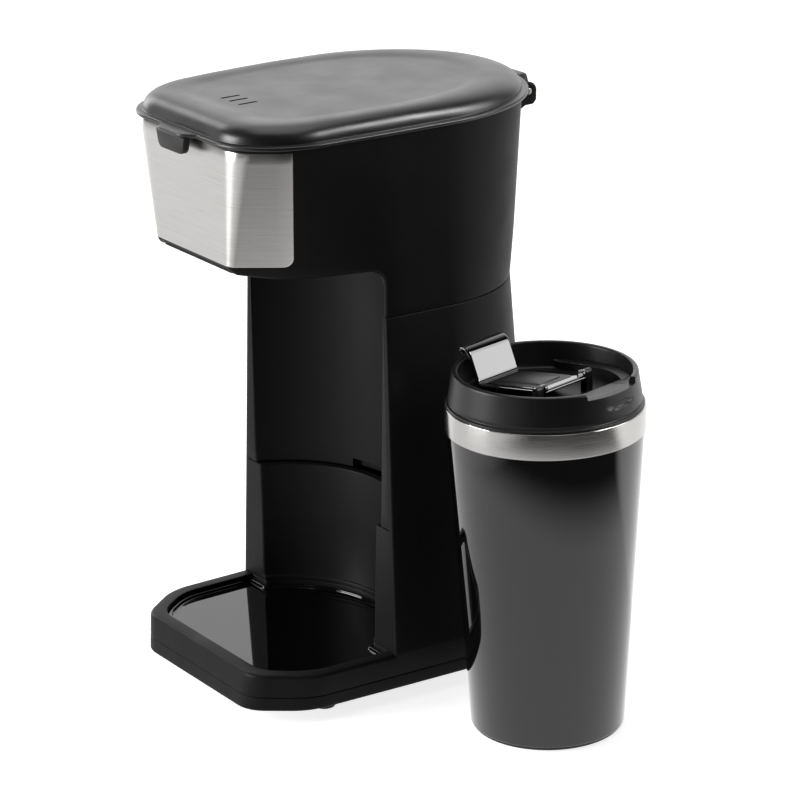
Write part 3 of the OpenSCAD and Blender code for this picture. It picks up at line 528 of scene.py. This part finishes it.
dome_share = 1 - np.cos(np.linspace(0, np.pi / 2, 16))
dome_rise = 7.6 * np.sqrt(1 - (1 - dome_share) ** 2.6)
flange = eased([(2, 265.9), (-3, 265.9), (-3, 267.75), (0, 267.75), (0, 268.6)], (0.7, 0.8, 0.35))
outer = [lid_ring(*row) for row in flange[:-1]]
outer += [lid_ring(crest(lid_s) * share, 267.75 + rise) for share, rise in zip(dome_share, dome_rise) if rise > 0.8]
outer = np.concatenate(outer)
plateau = shrunk(outer[-1], (0, -14), (1, 0.98, 0.95, 0.92, 0.89, 0.86, 0.83, 0.6, 0.3, 0))
plateau[..., 2] -= np.array([0, 0.02, 0.12, 0.34, 0.6, 0.78, 0.84, 0.84, 0.84, 0.84])[:, None]
inner = np.concatenate([lid_ring(*row) for row in ((2, 265.9), (2, 268.6), (3.4, 271.2), (10, 272.9))])
ceiling = shrunk(inner[-1], (0, -14), (1, 0.5, 0))
lid = piece("lid", [outer, plateau, inner, ceiling], "lid", satin_abs)


def pierce(made, grids):
    """Cuts closed pieces out of one piece with a boolean, and keeps the finished mesh."""
    cutter = piece("cutter", grids, "machine", textured_abs)
    cut = made.modifiers.new("cut", "BOOLEAN")
    cut.object, cut.solver, cut.operation = cutter, "EXACT", "DIFFERENCE"
    bpy.context.view_layer.update()
    made.data = bpy.data.meshes.new_from_object(made.evaluated_get(bpy.context.evaluated_depsgraph_get()))
    made.modifiers.clear()
    made.data.set_sharp_from_angle(angle=np.radians(30))
    bpy.data.objects.remove(cutter)


def rounded_box(x, y, half_x, half_y, radius, count=6):
    """Corner points of a rectangle whose four corners are quarter circles."""
    turn = np.linspace(0, np.pi / 2, count)
    corner = np.column_stack([half_x - radius + radius * np.cos(turn), half_y - radius + radius * np.sin(turn)])
    half = np.vstack([corner, corner[::-1] * [-1, 1]])
    return np.vstack([half, -half]) + [x, y]


pierce(lid, [slab(rounded_box(x, -68.8, 0.85, 4.9, 0.8), 270, 280, 0.05) for x in (-11.3, -4.4, 3.6)])
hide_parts("lid")

tab = eased([(-21, -101.4), (-16, -101.9), (-9.4, -108), (9.4, -108), (16, -101.9), (21, -101.4)],
            (2.5, 2.6, 2.6, 2.5))
knuckle_turn = np.radians(np.linspace(2, -172, 20))
knuckle = np.vstack([eased([(70.8, 266.4), (70.8, 267.75), (77.6, 267.75), (79.6, 260.6)], (0.3, 1.8)),
                     np.column_stack([HINGE_Y + 3.8 * np.cos(knuckle_turn), HINGE_Z + 3.8 * np.sin(knuckle_turn)])])
piece("lid_tab", [slab(tab, 266.1, 267.9, 0.6)], "lid", satin_abs)
piece("lid_knuckle", [slab(knuckle, -10.6, 10.6, 0.5, (1, 2, 0))], "lid", satin_abs)

# Pigmented ABS, grey: the grip is a separate moulding, snapped under the tab
grey_abs = mottled("grey ABS, satin", "262525", "212020", 0.8, 0.012, (0.4, 0.48), IOR=1.53,
                   Specular_IOR_Level=0.2)
grip = eased([(-12.4, 266.2), (-10.6, 258.3), (10.6, 258.3), (12.4, 266.2)], (3.4, 3.4), 6)
lid_catch = piece("lid_catch", [slab(grip, -107, -103.6, 0.9, (0, 2, 1))], "lid", grey_abs)
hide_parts("lid_catch")


def lying(profile, centre, along=(1, 0), steps=48):
    """Surface of revolution about a level axis through centre: each (position, radius) is carried once round."""
    turn = np.linspace(0, 2 * np.pi, steps + 1)
    at, r = np.array(profile, float).T[:, :, None]
    dx, dy = along
    return np.stack([centre[0] + at * dx - r * np.cos(turn) * dy, centre[1] + at * dy + r * np.cos(turn) * dx,
                     centre[2] + r * np.sin(turn) + 0 * at], -1)


# Drawn steel wire, nickel plated: bright, with faint draw lines
plated_steel = mottled("drawn steel, nickel plated", "a5a4a2", "989795", 0.4, 0.003, (0.18, 0.28), Metallic=1.0)
pin = eased([(-15.2, 0), (-15.2, 1.5), (15.2, 1.5), (15.2, 0)], (0.4, 0.4))
hinge_pin = piece("hinge_pin", [lying(pin, (0, HINGE_Y, HINGE_Z))], "machine", plated_steel)
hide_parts("hinge_pin")


# ---- Inside the head and the tank ------------------------------------------
# Under the lid: the liner with its water channel, the spreading plate, the
# lift-out filter, the outlet funnel and the tank. Plain black mouldings.

# Polypropylene, as moulded: slightly waxy and cloudy
black_pp = mottled("black polypropylene, as moulded", "1a1a1b", "141415", 3, 0.01, (0.32, 0.4), IOR=1.49)
dress(black_pp, "lid_liner", "shower_plate", "filter_holder", "outlet_spout", "reservoir")
# Woven filter mesh with a titanium nitride coat, gold: threads 0.25 mm apart, across and up
gold_mesh, tree, shader = blank_finish("woven mesh, titanium nitride coat", Metallic=1.0, Roughness=0.34)
place = put(tree, "ShaderNodeTexCoord").outputs["Object"]
warp, weft = (put(tree, "ShaderNodeTexWave", {"Vector": place, "Scale": 1000 / 0.25 / 20}, bands_direction=way,
                  wave_profile="SIN").outputs["Fac"] for way in ("X", "Z"))
weave = put(tree, "ShaderNodeMath", {0: warp, 1: weft}, operation="MULTIPLY").outputs[0]
colour = put(tree, "ShaderNodeMix", {"Factor": weave, "A": srgb("7d6428"), "B": srgb("cfae5c")},
             data_type="RGBA")
tree.links.new(colour.outputs["Result"], shader.inputs["Base Color"])
bump = put(tree, "ShaderNodeBump", {"Height": weave, "Strength": 0.6, "Distance": 0.00008})
tree.links.new(bump.outputs[0], shader.inputs["Normal"])
dress(gold_mesh, "filter_mesh")


# ---- Water path and wiring -------------------------------------------------
# Hidden in the column and the base: the heater casting with its tube and
# guards, silicone hoses with spring clamps, the one-way valve and the mains end.

# Extruded aluminium, as extruded: pale, with a dull oxide
extruded_aluminium = mottled("aluminium, as extruded", "b4b5b7", "a3a4a6", 0.8, 0.01, (0.4, 0.55), Metallic=1.0)
dress(extruded_aluminium, "heater_tube", "heater_element", "heater_bracket")
# Translucent silicone rubber: milky, soft highlights
silicone = mottled("silicone rubber, milky", "cfcfca", "c2c2bd", 4, 0.01, (0.38, 0.46), IOR=1.41,
                   Subsurface_Weight=0.2, Subsurface_Scale=0.002)
dress(silicone, "feed_hose", "valve_hose", "riser_hose")
# Cream urea and phenolic mouldings of the valve, the terminals and the heat guards
cream_resin = mottled("cream urea resin, moulded", "d9d4c4", "cdc7b5", 2, 0.01, (0.45, 0.6), IOR=1.55)
dress(cream_resin, "check_valve", "thermostat", "thermal_fuse", "terminal_block")
dress(plated_steel, "hose_clamps", "base_screws")
dress(black_pp, "switch_body")
dress(foot_rubber, "cord_bushing")


# ---- Power button ----------------------------------------------------------
# A round cap of satin ABS in a hole in the right-hand side, behind the mug.
# It slides in against the switch.

cap = eased([(57.9, 0), (57.9, 7), (68.0, 7), (67.6, 4.6), (67.4, 0)], (0.3, 0.7, 0.4))
button = piece("power_button", [lying(cap, (0, 15, 40.8), (1, 0), 64)], "button", satin_abs)
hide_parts("power_button")


# ---- Travel mug ------------------------------------------------------------
# A tapered outer wall of polished ABS on a rubber foot, with a steel liner
# inside and a brushed steel band slid on over the mouth.

MUG = (121.6, 6.3)
LEAN = np.radians(13)

# Polished ABS with a lacquer coat: deep black, mirror-like
lacquered_abs = mottled("black ABS, lacquered", "060607", "040405", 25, 0.003, (0.02, 0.04), IOR=1.5,
                        Coat_Weight=0.6, Coat_Roughness=0.02)
wall = eased([(32.9, 1.5), (34.55, 1.5), (43.46, 140.05), (43.15, 140.05), (43.15, 150.7), (41.6, 150.7), (41.3, 139),
              (32.9, 1.5)], (1.2, 0.25, 0.1, 0.3, 0.3, 2))
mug_shell = piece("mug_shell", [turned(wall, MUG, 192)], "mug", lacquered_abs)
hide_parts("mug_shell")
foot = eased([(0, 0), (32.9, 0), (34.2, 1.5), (0, 1.5)], (0.6, 0.3))
mug_foot = piece("mug_foot", [turned(foot, MUG, 128)], "mug", foot_rubber)
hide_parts("mug_foot")
sleeve = eased([(43.25, 141), (43.3, 140.2), (44.2, 140.2), (44.2, 151.7), (43.3, 151.7), (43.25, 151)],
               (0.1, 0.35, 0.35, 0.1))
# Stainless steel, brushed around: the grain runs round the band in lines 17 mm long and 0.3 mm
# wide, coarser than the real ones, so that they show
turned_steel, tree, shader = blank_finish("stainless steel, brushed around", Metallic=1.0, Anisotropic=0.8,
                                          Anisotropic_Rotation=0.25)
tree.links.new(put(tree, "ShaderNodeTangent", direction_type="RADIAL", axis="Z").outputs[0], shader.inputs["Tangent"])
place = put(tree, "ShaderNodeTexCoord").outputs["Object"]
place = put(tree, "ShaderNodeVectorMath", {0: place, 1: (-0.0722, -0.02015, 0)}, operation="ADD").outputs[0]
parts = put(tree, "ShaderNodeSeparateXYZ", {0: place}).outputs
angle = put(tree, "ShaderNodeMath", {0: parts["Y"], 1: parts["X"]}, operation="ARCTAN2").outputs[0]
round_band = put(tree, "ShaderNodeMath", {0: angle, 1: 2.5}, operation="MULTIPLY").outputs[0]
up_band = put(tree, "ShaderNodeMath", {0: parts["Z"], 1: 3500.0}, operation="MULTIPLY").outputs[0]
rolled_out = put(tree, "ShaderNodeCombineXYZ", {"X": round_band, "Z": up_band}).outputs[0]
grain = put(tree, "ShaderNodeTexNoise", {"Vector": rolled_out, "Scale": 1.0, "Detail": 3.0,
                                         "Roughness": 0.6}).outputs[0]
colour = put(tree, "ShaderNodeMix", {"Factor": grain, "A": srgb("b5b3b1"), "B": srgb("cbc9c7")}, data_type="RGBA")
tree.links.new(colour.outputs["Result"], shader.inputs["Base Color"])
rough = put(tree, "ShaderNodeMapRange", {"Value": grain, "From Min": 0.3, "From Max": 0.7,
                                         "To Min": 0.15, "To Max": 0.24})
tree.links.new(rough.outputs[0], shader.inputs["Roughness"])
bump = put(tree, "ShaderNodeBump", {"Height": grain, "Strength": 0.5, "Distance": 0.00003})
tree.links.new(bump.outputs[0], shader.inputs["Normal"])
mug_band = piece("mug_band", [turned(sleeve, MUG, 192)], "mug", turned_steel)
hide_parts("mug_band")
dress(turned_steel, "mug_liner")


# ---- Mug lid ---------------------------------------------------------------
# A push-in lid of matt ABS: a plug with a rubber ring, a leaning wall with a
# narrow rim, a sunken floor with the drinking hole, and a lowered lip.

# Moulded ABS with a fine matt texture
matt_abs = mottled("black ABS, fine matt texture", "181717", "131313", 0.5, 0.012, (0.32, 0.4), IOR=1.53,
                   Specular_IOR_Level=0.3)


def finer(line, step):
    """The same line with points added so that none of its pieces is longer than step."""
    line = np.array(line, float)
    run = np.concatenate([[0], np.cumsum(np.linalg.norm(np.diff(line, axis=0), axis=1))])
    every = np.unique(np.concatenate([run, np.arange(0, run[-1], step)]))
    return np.column_stack([np.interp(every, run, column) for column in line.T])


LID_TOP, FLOOR_Z, WELL_R = 167.2, 155.4, 36.9
plug_side = eased([(0, 153.4), (37.1, 153.4), (37.1, 140.7), (39.3, 140.7), (39.3, 151.7), (43.5, 151.7)],
                  (0.5, 0.3, 0.4, 0.5))
wall_side = finer(eased([(43.5, 151.7), (43.5, 152.7), (42.3, 153.2), (42.6, 154.4), (40.7, LID_TOP), (38.3, LID_TOP),
                         (36.3, FLOOR_Z), (30, FLOOR_Z)], (0.3, 0.5, 0.6, 1.0, 0.9, 2.0)), 0.6)
floor_side = [(r, FLOOR_Z) for r in (20, 12, 5, 0)]
lid_side = np.vstack([plug_side, wall_side[1:], floor_side])
angle = np.linspace(-np.pi, np.pi, 721)
across = np.clip((np.abs(np.degrees(angle)) - 22.4) / 1.0, 0, 1)
notch = 2.6 * (1 - across ** 2 * (3 - 2 * across))
r, z = lid_side.T[:, :, None]
inside = (np.arange(len(lid_side)) > np.argmax(lid_side[:, 1] > 167.1))[:, None]
top = np.where(z > 163.2, np.minimum(z, LID_TOP - notch * np.clip((z - 163.2) / 1.4, 0, 1)), z)
lens = 1 - ((np.degrees(angle) - 3) / 14) ** 2 - ((z - 159.6) / 1.7) ** 2
dip = np.clip(lens / 0.7, 0, 1)
r = r - np.where(inside | (r < 40), 0, 0.8 * dip ** 2 * (3 - 2 * dip))
sweep = np.stack([r * np.cos(angle), r * np.sin(angle), top + 0 * r], -1)


def on_mug(points, turn=LEAN):
    """Points given about the mug's axis, turned about it to face the drinker and moved to the mug."""
    c, s = np.cos(turn), np.sin(turn)
    return points @ np.array([[c, s, 0], [-s, c, 0], [0, 0, 1]]) + [*MUG, 0]


mug_lid = piece("mug_lid", [on_mug(sweep)], "mug_lid", matt_abs, 30)
# The drinking hole, and a small one that lets air in
holes = [turned([(0, 150), (radius, 150), (radius, 158), (0, 158)], (u, 0), 40)
         for u, radius in ((-6, 5.5), (-19, 1.2))]
pierce(mug_lid, [on_mug(k) for k in holes])
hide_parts("mug_lid")

# Ledges that climb along the inside of the wall to the ramp behind the drinking lip
turn = np.radians(np.linspace(14, 126, 91))
broad = 4.8 * np.sqrt(np.sin((np.degrees(turn) - 14) / 112 * np.pi))
climb = 159.4 + 3.2 * np.clip((np.radians(118) - turn) / np.radians(75), 0, 1)
share, high = eased([(0, 0), (0, 0.86), (1, 1), (1, 0), (0, 0)], (0.08, 0.02, 0.02)).T[:, :, None]
r, z = WELL_R - broad * (1 - share), 155.0 + (climb - 155.0) * high
ledge = np.stack([r * np.cos(turn), r * np.sin(turn), z + 0 * r], -1)
ramp_side = eased([(0, 155.0), (0, 161.9), (1, 164.3), (1, 155.0), (0, 155.0)], (0.04, 0.02, 0.02))
share, high = ramp_side.T[:, :, None]
v = np.linspace(-27, 27, 61)
notched = np.clip((16.0 - np.abs(v)) / 1.2, 0, 1)
u = 25 + (np.sqrt((WELL_R + 1.7 * notched) ** 2 - v ** 2) - 25) * share
ramp = np.stack([u, v + 0 * u, high - np.where(high > 162.5, 1.3 * (1 - notched), 0)], -1)
piece("mug_lid_ledges", [on_mug(ledge), on_mug(ledge * [1, -1, 1]), on_mug(ramp)],
      "mug_lid", matt_abs, 40)
lug_side = eased([(8.2, 155.3), (8.4, 165.1), (11.6, 165.1), (11.8, 155.3)], (1.5, 1.5))
piece("mug_lid_lugs", [on_mug(slab(lug_side, v - 2.1, v + 2.1, 0.4, (0, 2, 1))) for v in (-16.2, 16.2)],
      "mug_lid", matt_abs)
pin = eased([(12.6, 0), (12.6, 1.2), (18.3, 1.2), (18.3, 0)], (0.3, 0.3))
flap_pin = piece("flap_pin", [on_mug(lying(pin, (10, 0, 163.9), (0, way))) for way in (-1, 1)],
                 "mug_lid", plated_steel)
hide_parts("flap_pin")
dress(foot_rubber, "mug_seal")


# ---- Flap ------------------------------------------------------------------
# A glossy ABS lever on the pin: a thumb tab curled over the rear rim, a tongue
# lying in the lid, and a rubber stopper that closes the drinking hole.

def strip(line, half_width, half_thick, soft=1.2, columns=61):
    """A soft-edged strip along a line of (u, height).

    Its half thickness, measured square to the line, falls off as a quarter ellipse at every edge."""
    step = np.gradient(line, axis=0)
    normal = np.column_stack([-step[:, 1], step[:, 0]]) / np.linalg.norm(step, axis=1, keepdims=True)
    run = np.concatenate([[0], np.cumsum(np.linalg.norm(np.diff(line, axis=0), axis=1))])
    q = np.sin(np.linspace(-np.pi / 2, np.pi / 2, columns))
    to_end = np.minimum(run, run[-1] - run)
    from_end = np.sqrt(1 - np.clip(1 - to_end / soft, 0, 1) ** 2)
    v = half_width[:, None] * q
    from_side = np.sqrt(np.clip(1 - np.clip(1 - (half_width[:, None] - np.abs(v)) / soft, 0, 1) ** 2, 0, 1))
    h = (half_thick * from_end)[:, None] * from_side
    return [np.stack([line[:, :1] + way * h * normal[:, :1], v, line[:, 1:] + way * h * normal[:, 1:]], -1)
            for way in (1, -1)]


# Side view of the flap, heights above the lid's rim: curled end, roll, thumb tab, tongue, lip
lever = finer(eased([(-38.6, 1.5), (-38.0, 4.7), (-33.9, 5.2), (-27.4, -10.4), (8, -5.6), (12.2, -5.0)],
                    (2.2, 3.6, 2.6, 2), 14), 0.4)
run = np.concatenate([[0], np.cumsum(np.linalg.norm(np.diff(lever, axis=0), axis=1))])
width = 13.6 - 2.4 * np.sqrt(1 - np.clip(run / 2.4, 0, 1) ** 2)
flap_parts = [on_mug(k) for k in strip(lever + [0, LID_TOP], width, np.full(len(run), 0.95))]
ear = eased([(7.8, 161.2), (8.1, 165.3), (11.9, 165.3), (12.2, 161.2)], (1.8, 1.8))
flap_parts += [on_mug(slab(ear, v - 0.9, v + 0.9, 0.3, (0, 2, 1))) for v in (-12.7, 12.7)]
# A thin pad on the tongue with a raised rectangle: rings of a rounded rectangle, lifted and laid on its slope
pad = np.stack([rounded_box(0, 0, 15.6 - k, 11.4 - k, max(3.0 - k, 0.4)) for k in (0, 0.2, 4.2, 4.5, 4.9, 4.9)])
pad[-1] = 0
pad = np.concatenate([pad, pad[:, :1]], 1) + [-8.6, 0]
lift = np.array([0.8, 1.1, 1.1, 1.55, 1.6, 1.6])[:, None]
pad = on_mug(np.stack([pad[..., 0], pad[..., 1], 156.8 + (pad[..., 0] + 27.4) * 4.8 / 35.4 + lift], -1))
ridge = slab(rounded_box(0, 0, 0.55, 4.6, 0.5), -0.2, 0.55, 0.3)
ridge = ridge @ np.array([[0.42, 0, -0.91], [0, 1, 0], [0.91, 0, 0.42]]) + [-31.9, 0, 168.4]
flap_parts.append(on_mug(ridge))
mug_flap = piece("mug_flap", flap_parts, "flap", lacquered_abs)
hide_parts("mug_flap")
plug = eased([(0, 154.3), (4.0, 154.3), (4.6, 155.7), (7.5, 155.7), (7.5, 159.7), (0, 159.7)], (0.5, 0.3, 0.6, 0.6))
piece("mug_flap_pad", [pad], "flap", matt_abs, 30)
stopper = piece("flap_stopper", [on_mug(turned(plug, (-6, 0), 64))], "flap", foot_rubber)
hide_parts("flap_stopper")




# ---- View, floor and light -------------------------------------------------
# A plain pale sweep under soft boxes: one large box ahead and to the left, a
# narrow one to the right, and a bright backdrop behind, as for a catalogue.

view = bpy.data.cameras.new("view")
view.lens, view.sensor_width = 154.7, 36
view.shift_x, view.shift_y = 0.0131, 0.0023
camera = bpy.data.objects.new("view", view)
azimuth, elevation, lean = np.radians([56.73, 18.94, -1.30])
back = np.array([np.sin(azimuth) * np.cos(elevation), -np.cos(azimuth) * np.cos(elevation), np.sin(elevation)])
right = np.array([np.cos(azimuth), np.sin(azimuth), 0])
up = np.cross(back, right)
level = np.column_stack([np.cos(lean) * right + np.sin(lean) * up, np.cos(lean) * up - np.sin(lean) * right, back])
camera.matrix_world = Matrix.Translation((1.22233, -0.81581, 0.64075)) @ Matrix(level.tolist()).to_4x4()
bpy.context.scene.collection.objects.link(camera)
bpy.context.scene.camera = camera
bpy.context.scene.view_settings.view_transform = "Standard"


def seen_directly(tree):
    """The kinds of ray, and 1 where the camera or glass looks at the surface, 0 where it only sends light."""
    path = put(tree, "ShaderNodeLightPath").outputs
    either = put(tree, "ShaderNodeMath", {0: path["Is Camera Ray"], 1: path["Is Transmission Ray"]},
                 operation="MAXIMUM")
    return path, either.outputs[0]


# Painted floor, off-white and matt; looked at, it is paper white apart from the object's shadow
floor_white, tree, shader = blank_finish("floor paint, off-white", Roughness=0.9)
place = put(tree, "ShaderNodeTexCoord").outputs["Object"]
fleck = put(tree, "ShaderNodeTexNoise", {"Vector": place, "Scale": 3.0, "Detail": 3.0})
colour = put(tree, "ShaderNodeMix", {"Factor": fleck.outputs[0], "A": srgb("e6e6e6"), "B": srgb("ececec")},
             data_type="RGBA")
tree.links.new(colour.outputs["Result"], shader.inputs["Base Color"])
path, seen = seen_directly(tree)
glow = put(tree, "ShaderNodeEmission", {"Color": srgb("ffffff"), "Strength": 0.8})
lift = put(tree, "ShaderNodeMix", {"Factor": seen, "A": 0.0, "B": 1.0}, data_type="FLOAT")
none = put(tree, "ShaderNodeEmission", {"Strength": 0.0})
extra = put(tree, "ShaderNodeMixShader", {0: lift.outputs[0], 1: none.outputs[0], 2: glow.outputs[0]})
both = put(tree, "ShaderNodeAddShader", {0: shader.outputs[0], 1: extra.outputs[0]})


# Painted reflection: to glossy rays the floor glows instead of showing its lit shading, bright around the object and
# in front on the left, brightest just behind it
reach = put(tree, "ShaderNodeVectorMath", {0: place}, operation="LENGTH").outputs["Value"]
painted_reflection_level = put(tree, "ShaderNodeMapRange", {"Value": reach, "From Min": 0.3, "From Max": 0.46, "To Min": 1.0,
                                       "To Max": 0.06}, interpolation_type="SMOOTHSTEP").outputs[0]
for way, start, stop, most in (((-0.75, -0.65, 0), 0.08, 0.35, 1.0), ((-0.6, 0.8, 0), 0.03, 0.13, 1.2)):
    reach = put(tree, "ShaderNodeVectorMath", {0: place, 1: way}, operation="DOT_PRODUCT").outputs["Value"]
    patch = put(tree, "ShaderNodeMapRange", {"Value": reach, "From Min": start, "From Max": stop, "To Min": 0.0,
                                             "To Max": most}, interpolation_type="SMOOTHSTEP").outputs[0]
    painted_reflection_level = put(tree, "ShaderNodeMath", {0: painted_reflection_level, 1: patch}, operation="MAXIMUM").outputs[0]
painted_reflection_glow = put(tree, "ShaderNodeEmission", {"Color": srgb("ffffff"), "Strength": painted_reflection_level})
whole = put(tree, "ShaderNodeMixShader", {0: path["Is Glossy Ray"], 1: both.outputs[0], 2: painted_reflection_glow.outputs[0]})
tree.links.new(whole.outputs[0], next(k for k in tree.nodes if k.type == "OUTPUT_MATERIAL").inputs["Surface"])
mesh = bpy.data.meshes.new("floor")
mesh.from_pydata([(-4, -4, -0.0003), (4, -4, -0.0003), (4, 4, -0.0003), (-4, 4, -0.0003)], [], [(0, 1, 2, 3)])
mesh.materials.append(floor_white)
floor = bpy.data.objects.new("floor", mesh)
bpy.context.scene.collection.objects.link(floor)

world = bpy.data.worlds.new("studio")
world.use_nodes = True
bpy.context.scene.world = world
tree = world.node_tree
tree.nodes.clear()
path, seen = seen_directly(tree)
towards = put(tree, "ShaderNodeTexCoord").outputs["Generated"]
# What a mirror sees of the room: a broad bright backdrop behind, and a small window to the right
backdrop = 0.0
for way, start, stop, least, most in (((-0.79, 0.52, 0.32), 0.55, 0.93, 0.04, 1.45),
                                      ((0.54, 0.83, 0.12), 0.95, 0.985, 0.0, 1.5)):
    turn = put(tree, "ShaderNodeVectorMath", {0: towards, 1: way}, operation="DOT_PRODUCT").outputs["Value"]
    patch = put(tree, "ShaderNodeMapRange", {"Value": turn, "From Min": start, "From Max": stop, "To Min": least,
                                             "To Max": most}, interpolation_type="SMOOTHSTEP").outputs[0]
    backdrop = put(tree, "ShaderNodeMath", {0: backdrop, 1: patch}, operation="ADD").outputs[0]
dim = put(tree, "ShaderNodeMix", {"Factor": path["Is Glossy Ray"], "A": 0.14, "B": backdrop}, data_type="FLOAT")
level = put(tree, "ShaderNodeMix", {"Factor": seen, "A": dim.outputs[0], "B": 1.0}, data_type="FLOAT")
sky = put(tree, "ShaderNodeBackground", {"Color": srgb("ffffff"), "Strength": level.outputs[0]})
put(tree, "ShaderNodeOutputWorld", {"Surface": sky.outputs[0]})


def soft_box(name, place, aim, width, height, power):
    """A rectangular lamp at place, turned to face the point aim."""
    lamp = bpy.data.lights.new(name, "AREA")
    lamp.shape, lamp.size, lamp.size_y, lamp.energy = "RECTANGLE", width, height, power
    made = bpy.data.objects.new(name, lamp)
    away = np.array(place, float) - aim
    away = away / np.linalg.norm(away)
    side = np.cross((0, 0, 1.0), away)
    side = side / np.linalg.norm(side)
    turned_to = np.column_stack([side, np.cross(away, side), away])
    made.matrix_world = Matrix.Translation(place) @ Matrix(turned_to.tolist()).to_4x4()
    bpy.context.scene.collection.objects.link(made)
    return made


soft_box("front_left_box", (-0.75, -1.6, 0.6), (0, 0, 0.14), 0.9, 0.9, 33)
soft_box("left_box", (-1.6, -0.2, 0.7), (0, 0, 0.14), 0.6, 1.2, 8)
soft_box("top_box", (-0.1, 0.1, 1.7), (0, 0, 0.1), 1.2, 1.2, 8)
for lamp in (soft_box("right_box", (0.95, 1.38, 0.85), (0, 0, 0.14), 0.7, 0.9, 12),
             soft_box("high_right_box", (0.98, 0.8, 1.05), (0, 0, 0.25), 0.4, 0.5, 15)):
    lamp.visible_diffuse = False
